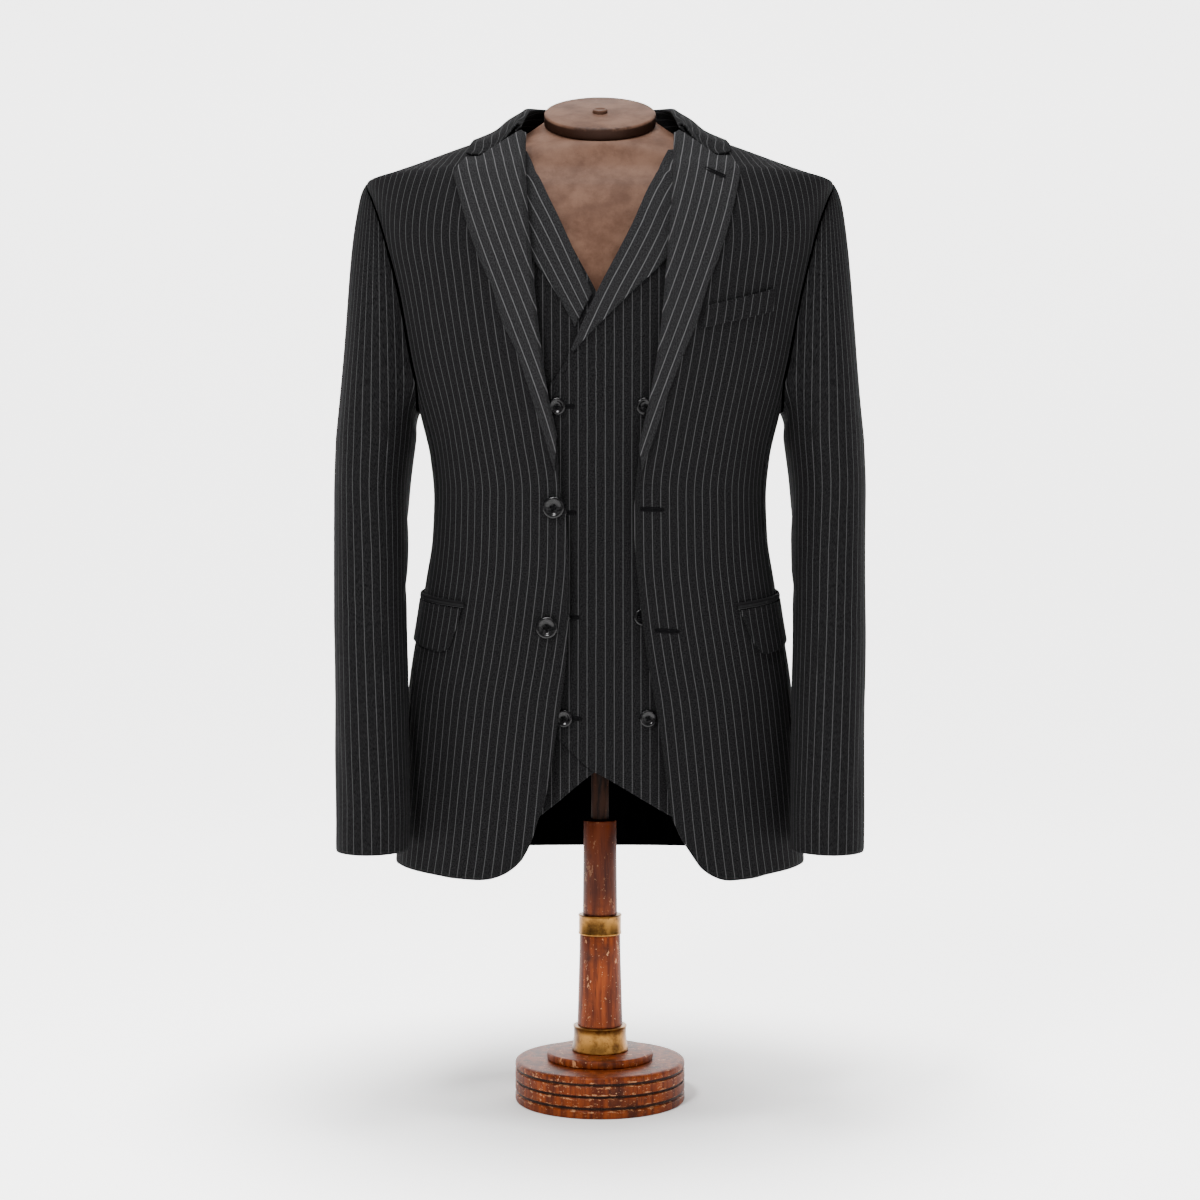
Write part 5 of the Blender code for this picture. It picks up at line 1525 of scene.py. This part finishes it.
def feed(tree, socket, source):
    if isinstance(source, bpy.types.NodeSocket):
        tree.links.new(source, socket)
    else:
        socket.default_value = source


def maths(tree, operation, first, second=0.0):
    node = tree.nodes.new("ShaderNodeMath")
    node.operation = operation
    feed(tree, node.inputs[0], first)
    feed(tree, node.inputs[1], second)
    return node.outputs[0]


def step_between(tree, value, low, high, start=0.0, end=1.0):
    """A smooth change from start to end as the value goes from low to high."""
    node = tree.nodes.new("ShaderNodeMapRange")
    node.interpolation_type = "SMOOTHSTEP"
    feed(tree, node.inputs["Value"], value)
    for name, number in (("From Min", low), ("From Max", high), ("To Min", start), ("To Max", end)):
        node.inputs[name].default_value = number
    return node.outputs["Result"]


def blended(tree, share, first, second):
    """A colour between two, which may be colours or sockets."""
    node = tree.nodes.new("ShaderNodeMix")
    node.data_type = "RGBA"
    feed(tree, node.inputs["Factor"], share)
    for socket, source in ((node.inputs[6], first), (node.inputs[7], second)):
        feed(tree, socket, source if isinstance(source, bpy.types.NodeSocket) else (*source, 1.0))
    return node.outputs[2]


def mottled(tree, pattern, low, high, dark, light):
    """A colour that goes from dark to light as a pattern goes from low to high."""
    return blended(tree, step_between(tree, pattern, low, high), dark, light)


def paint(tree, shader, colour):
    tree.links.new(colour, shader.inputs["Base Color"])


def separated(tree, vector):
    """The three parts of a vector."""
    node = tree.nodes.new("ShaderNodeSeparateXYZ")
    tree.links.new(vector, node.inputs["Vector"])
    return node.outputs["X"], node.outputs["Y"], node.outputs["Z"]


def coat(shader, weight, roughness):
    shader.inputs["Coat Weight"].default_value = weight
    shader.inputs["Coat Roughness"].default_value = roughness


def scaled(tree, vector, factors):
    node = tree.nodes.new("ShaderNodeVectorMath")
    node.operation = "MULTIPLY"
    feed(tree, node.inputs[0], vector)
    node.inputs[1].default_value = factors
    return node.outputs[0]


def noise(tree, vector, scale, detail=4.0, roughness=0.55):
    node = tree.nodes.new("ShaderNodeTexNoise")
    feed(tree, node.inputs["Vector"], vector)
    node.inputs["Scale"].default_value = scale
    node.inputs["Detail"].default_value = detail
    node.inputs["Roughness"].default_value = roughness
    return node.outputs["Fac"]


def bump(tree, shader, height, strength, distance):
    node = tree.nodes.new("ShaderNodeBump")
    node.inputs["Strength"].default_value = strength
    node.inputs["Distance"].default_value = distance
    feed(tree, node.inputs["Height"], height)
    tree.links.new(node.outputs["Normal"], shader.inputs["Normal"])


def place_on_object(tree):
    return tree.nodes.new("ShaderNodeTexCoord").outputs["Object"]


def pinstripe(tree, uv, across, along_v):
    """How much of the stripe's colour shows: a wandering line of dashes, thinner in places."""
    wander = maths(tree, "SUBTRACT", noise(tree, uv, 60, 2), 0.5)
    wander = maths(tree, "MULTIPLY", wander, 0.0004)
    turns = maths(tree, "DIVIDE", maths(tree, "ADD", across, wander), STRIPE_GAP)
    away = maths(tree, "ABSOLUTE", maths(tree, "SUBTRACT", maths(tree, "FRACT", turns), 0.5))
    away = maths(tree, "MULTIPLY", away, STRIPE_GAP)
    stripe = step_between(tree, away, 0.55 * STRIPE_HALF, 1.5 * STRIPE_HALF, 1.0, 0.0)
    dots = maths(tree, "SINE", maths(tree, "MULTIPLY", along_v, 2 * math.pi / DASH))
    stripe = maths(tree, "MULTIPLY", stripe, step_between(tree, dots, -1.0, 0.6, 0.62, 1.0))
    gaps = step_between(tree, noise(tree, uv, 500, 2), 0.3, 0.6, 0.7, 1.0)
    return maths(tree, "MULTIPLY", stripe, gaps)


def cloth_material(name, dark, light, stripe_colour):
    """Fine black worsted with a dotted grey pinstripe every 8.7 mm of its width."""
    material, tree, shader = new_shader(name, 0.85, 0.02)
    node = tree.nodes.new("ShaderNodeUVMap")
    node.uv_map = "cloth"
    uv = node.outputs["UV"]
    across, along_v, _ = separated(tree, uv)
    stripe = pinstripe(tree, uv, across, along_v)
    diagonal = maths(tree, "MULTIPLY", maths(tree, "ADD", across, along_v), 2 * math.pi / WEAVE)
    twill = maths(tree, "MULTIPLY", maths(tree, "SINE", diagonal), 0.5)
    grain = noise(tree, uv, 900, 3, 0.75)
    ground = mottled(tree, grain, 0.38, 0.62, dark, light)
    paint(tree, shader, blended(tree, stripe, ground, stripe_colour))
    shader.inputs["Sheen Weight"].default_value = 0.01
    shader.inputs["Sheen Roughness"].default_value = 0.45
    shader.inputs["Sheen Tint"].default_value = (0.75, 0.76, 0.80, 1.0)
    bump(tree, shader, maths(tree, "ADD", twill, grain), 0.35, 0.00025)
    return material


def lining_material():
    material, tree, shader = new_shader("black_lining", 0.90, 0.0)
    place = place_on_object(tree)
    shade = noise(tree, scaled(tree, place, (1.0, 1.0, 0.25)), 90, 4)
    paint(tree, shader, mottled(tree, shade, 0.3, 0.7, (0.0001, 0.0001, 0.0001), (0.0005, 0.0005, 0.0006)))
    bump(tree, shader, noise(tree, scaled(tree, place, (1.0, 1.0, 0.2)), 700, 2), 0.15, 0.0002)
    return material


def horn_material():
    material, tree, shader = new_shader("black_horn", 0.20, 0.17)
    marks = noise(tree, scaled(tree, place_on_object(tree), (1.0, 1.0, 2.4)), 240, 5, 0.6)
    paint(tree, shader, mottled(tree, marks, 0.45, 0.75, (0.0016, 0.0016, 0.0018), (0.014, 0.0135, 0.014)))
    coat(shader, 0.05, 0.12)
    bump(tree, shader, marks, 0.08, 0.0002)
    return material


def thread_material():
    material, tree, shader = new_shader("black_thread", 0.90, 0.04)
    strands = noise(tree, place_on_object(tree), 2600, 2)
    colour = mottled(tree, strands, 0.3, 0.7, (0.0004, 0.0004, 0.0005), (0.0040, 0.0040, 0.0044))
    paint(tree, shader, colour)
    bump(tree, shader, strands, 0.5, 0.0001)
    return material


def cap_darkness(tree, place):
    """Dark at the cap's ragged front and in a band round its lower rim."""
    _, y, z = separated(tree, place)
    ragged = maths(tree, "SUBTRACT", noise(tree, place, 190, 5, 0.7), 0.5)
    front = maths(tree, "ADD", z, maths(tree, "MULTIPLY", ragged, 0.020))
    front = step_between(tree, front, CAP_DARK_START, CAP_DARK_END, 1.0, 0.0)
    rise = maths(tree, "SUBTRACT", z, CAP_CENTRE[2])
    rise = maths(tree, "MULTIPLY", rise, math.cos(NECK_TILT))
    rise = maths(tree, "SUBTRACT", rise, maths(tree, "MULTIPLY", y, math.sin(NECK_TILT)))
    band = step_between(tree, rise, -0.0030, -0.0012, 1.0, 0.0)
    return maths(tree, "MULTIPLY", maths(tree, "MAXIMUM", front, band), 0.90)


def cover_material(name, is_cap=False):
    """Worn brown, whose edge has gone dark and ragged on the neck's cap."""
    material, tree, shader = new_shader(name, 0.62, 0.07)
    place = place_on_object(tree)
    blotches = noise(tree, place, 26, 6, 0.62)
    colour = mottled(tree, blotches, 0.32, 0.68, (0.044, 0.020, 0.0115), (0.086, 0.045, 0.029))
    specks = step_between(tree, noise(tree, place, 420, 4, 0.7), 0.60, 0.72)
    colour = blended(tree, maths(tree, "MULTIPLY", specks, 0.5), colour, (0.032, 0.013, 0.008))
    if is_cap:
        colour = blended(tree, cap_darkness(tree, place), colour, (0.012, 0.0045, 0.0025))
    paint(tree, shader, colour)
    bump(tree, shader, noise(tree, place, 160, 6, 0.65), 0.30, 0.0008)
    return material


def wood_wear(tree, place, chips, distances):
    """Where the varnish has gone: in chips, and along the rims of the grooves."""
    wear = noise(tree, scaled(tree, place, chips.stretch), chips.scale, 8, 0.72)
    for away in distances:
        rim = step_between(tree, away, 1.4 * GROOVE_HALF, 3.6 * GROOVE_HALF, RIM_WEAR, 0.0)
        wear = maths(tree, "ADD", wear, rim)
    return step_between(tree, wear, chips.start, chips.start + 0.035)


def wood_material(name, chips, grooves=()):
    """Red-brown varnish over turned wood, scratched and chipped pale, with painted shade in its grooves and
    on the column's upper part, under the suit.
    """
    material, tree, shader = new_shader(name, 0.46, 0.09)
    place = place_on_object(tree)
    _, _, height = separated(tree, place)
    grain = noise(tree, scaled(tree, place, (1.0, 1.0, 0.10)), 150, 6, 0.6)
    colour = mottled(tree, grain, 0.30, 0.70, (0.060, 0.0085, 0.0010), (0.215, 0.0400, 0.0050))
    streaks = noise(tree, scaled(tree, place, (1.0, 1.0, 0.05)), 420, 3, 0.7)
    streaks = step_between(tree, streaks, 0.56, 0.72, 0.0, 0.7)
    colour = blended(tree, streaks, colour, (0.016, 0.003, 0.0015))
    dirt = step_between(tree, noise(tree, place, 33, 5, 0.6), 0.50, 0.72, 0.0, 0.75)
    colour = blended(tree, dirt, colour, (0.016, 0.0045, 0.0025))
    distances = [maths(tree, "ABSOLUTE", maths(tree, "SUBTRACT", height, groove)) for groove in grooves]
    worn = wood_wear(tree, place, chips, distances)
    colour = blended(tree, maths(tree, "MULTIPLY", worn, 0.85), colour, (0.460, 0.200, 0.085))
    flecks = step_between(tree, noise(tree, place, 330, 3, 0.6), 0.66, 0.70, 0.0, 0.8)
    colour = blended(tree, flecks, colour, (0.500, 0.250, 0.120))
    # Painted shade: darker from 0.165 m up the column, where the suit above shades it.
    painted_shade_up_column = step_between(tree, height, WOOD_SHADE_LOW, WOOD_SHADE_HIGH, 0.0, 0.72)
    colour = blended(tree, painted_shade_up_column, colour, (0.016, 0.0022, 0.0007))
    # Painted shade in each groove.
    for away in distances:
        shade = step_between(tree, away, 0.6 * GROOVE_HALF, 1.4 * GROOVE_HALF, 0.92, 0.0)
        colour = blended(tree, shade, colour, (0.010, 0.0035, 0.0020))
    paint(tree, shader, colour)
    coat(shader, 0.04, 0.25)
    bump(tree, shader, maths(tree, "SUBTRACT", maths(tree, "MULTIPLY", grain, 0.4), worn), 0.35, 0.0005)
    return material


def brass_material():
    material, tree, shader = new_shader("aged_brass", 0.34, 0.5, 1.0)
    place = place_on_object(tree)
    tarnish = noise(tree, place, 60, 6, 0.65)
    colour = mottled(tree, tarnish, 0.38, 0.68, (0.270, 0.128, 0.030), (0.070, 0.030, 0.009))
    spots = step_between(tree, noise(tree, place, 330, 4, 0.7), 0.60, 0.70, 0.0, 0.8)
    paint(tree, shader, blended(tree, spots, colour, (0.035, 0.015, 0.006)))
    bump(tree, shader, noise(tree, place, 240, 4), 0.15, 0.0004)
    return material


def post_material():
    material, tree, shader = new_shader("dark_post", 0.60, 0.08)
    place = place_on_object(tree)
    grain = noise(tree, scaled(tree, place, (1.0, 1.0, 0.15)), 220, 6, 0.65)
    colour = mottled(tree, grain, 0.35, 0.65, (0.003, 0.0012, 0.0008), (0.020, 0.0075, 0.0040))
    scuffs = step_between(tree, noise(tree, place, 130, 6, 0.7), 0.62, 0.70, 0.0, 0.6)
    paint(tree, shader, blended(tree, scuffs, colour, (0.110, 0.055, 0.030)))
    bump(tree, shader, grain, 0.25, 0.0004)
    return material


def floor_material():
    """A pale floor that glows, its glow dimmed near the stand into a painted shadow of the base."""
    material, tree, shader = new_shader("pale_floor", 0.9, 0.1)
    place = place_on_object(tree)
    shade = noise(tree, place, 0.7, 2)
    paint(tree, shader, mottled(tree, shade, 0.3, 0.7, (0.83, 0.825, 0.82), (0.86, 0.855, 0.85)))
    shader.inputs["Emission Color"].default_value = (1.0, 0.993, 0.990, 1.0)
    away = tree.nodes.new("ShaderNodeVectorMath")
    away.operation = "LENGTH"
    tree.links.new(place, away.inputs[0])
    # Painted shadow: the glow fades to FLOOR_DIM near the stand.
    glow_with_painted_shadow = step_between(tree, away.outputs["Value"], GLOW_START, GLOW_END, FLOOR_DIM, FLOOR_GLOW)
    tree.links.new(glow_with_painted_shadow, shader.inputs["Emission Strength"])
    return material


def backdrop():
    """The pale floor, curving up behind into a wall."""
    turns = np.linspace(0, math.pi / 2, 24)
    bend = [
        (BEND_START + BEND_RADIUS * math.sin(turn), BEND_RADIUS * (1 - math.cos(turn)))
        for turn in turns
    ]
    profile = [(FLOOR_FRONT, 0.0), *bend, (BEND_START + BEND_RADIUS, WALL_TOP)]
    points = [(x, y, z) for y, z in profile for x in (-FLOOR_HALF, FLOOR_HALF)]
    faces = [(2 * i, 2 * i + 1, 2 * i + 3, 2 * i + 2) for i in range(len(profile) - 1)]
    linked("backdrop", new_mesh("backdrop", points, faces, (floor_material(),)))


def soft_light(light):
    lamp = bpy.data.lights.new(light.name, "AREA")
    lamp.shape = "RECTANGLE"
    lamp.size = lamp.size_y = light.side
    lamp.energy = light.power
    item = linked(light.name, lamp)
    item.location = light.place
    item.rotation_euler = (Vector(light.target) - Vector(light.place)).to_track_quat("-Z", "Y").to_euler()


def studio():
    backdrop()
    world = bpy.data.worlds.new("studio")
    world.use_nodes = True
    background = world.node_tree.nodes["Background"]
    background.inputs["Color"].default_value = WORLD_COLOUR
    background.inputs["Strength"].default_value = WORLD_STRENGTH
    bpy.context.scene.world = world
    for light in LIGHTS:
        soft_light(light)


def camera():
    lens = bpy.data.cameras.new("camera")
    lens.lens = PHOTO_LENS
    lens.sensor_width = SENSOR_WIDTH
    lens.clip_start = CLIP_START
    item = linked("camera", lens)
    item.location = (0.0, -PHOTO_DISTANCE, PHOTO_HEIGHT)
    item.rotation_euler = (math.pi / 2, 0.0, 0.0)
    bpy.context.scene.camera = item


def jacket():
    for side, suffix in ((1, "left"), (-1, "right")):
        jacket_front(side, suffix)
        jacket_side(side, suffix)
        jacket_back(side, suffix)
        sleeve(side, suffix)
        lapel(side, suffix)
        flap(side, suffix)
    collar()
    breast_welt()
    back_lining()


def waistcoat():
    """Both fronts are drawn on the left, so the right one's tables turn over first."""
    under_edge = [Spot(spot.x - 2 * V_MIDDLE, spot.height) for spot in VEST_EDGE]
    under_hem = [Spot(-spot.x, spot.height) for spot in UNDER_HEM]
    vest_front("vest_front_left", 1, VEST_EDGE, OVER_HEM, OVER_FRONT)
    vest_front("vest_front_right", -1, under_edge, under_hem, UNDER_FRONT)
    vest_back()
    vest_lapel("vest_lapel_left", OVER_LAPEL_EDGES, OVER_LAPEL)
    vest_lapel("vest_lapel_right", UNDER_LAPEL_EDGES, UNDER_LAPEL)


CLOTH = cloth_material(
    "pinstripe_cloth", (0.0004, 0.0004, 0.0005), (0.0112, 0.0112, 0.0116), (0.043, 0.043, 0.044)
)
# A lighter copy of the cloth for the lapels: painted light, for the light their roll catches.
PAINTED_LIGHT_LAPEL_CLOTH = cloth_material(
    "pinstripe_lapel_painted_light", (0.0030, 0.0030, 0.0032), (0.0190, 0.0190, 0.0197), (0.076, 0.076, 0.078)
)
LINING = lining_material()
HORN = horn_material()
THREAD = thread_material()
COVER = cover_material("brown_form_cover")
CAP = cover_material("worn_cap", is_cap=True)
WOOD = wood_material("varnished_wood", Chips((1.0, 1.0, 0.50), 120, 0.590))
BASE_WOOD = wood_material("chipped_wood", Chips((1.0, 1.0, 2.60), 170, 0.615), BASE_GROOVES)
BRASS = brass_material()
POST = post_material()

form_torso()
neck_parts()
stand()
waistcoat()
jacket()
buttons()
buttonholes()
studio()
camera()
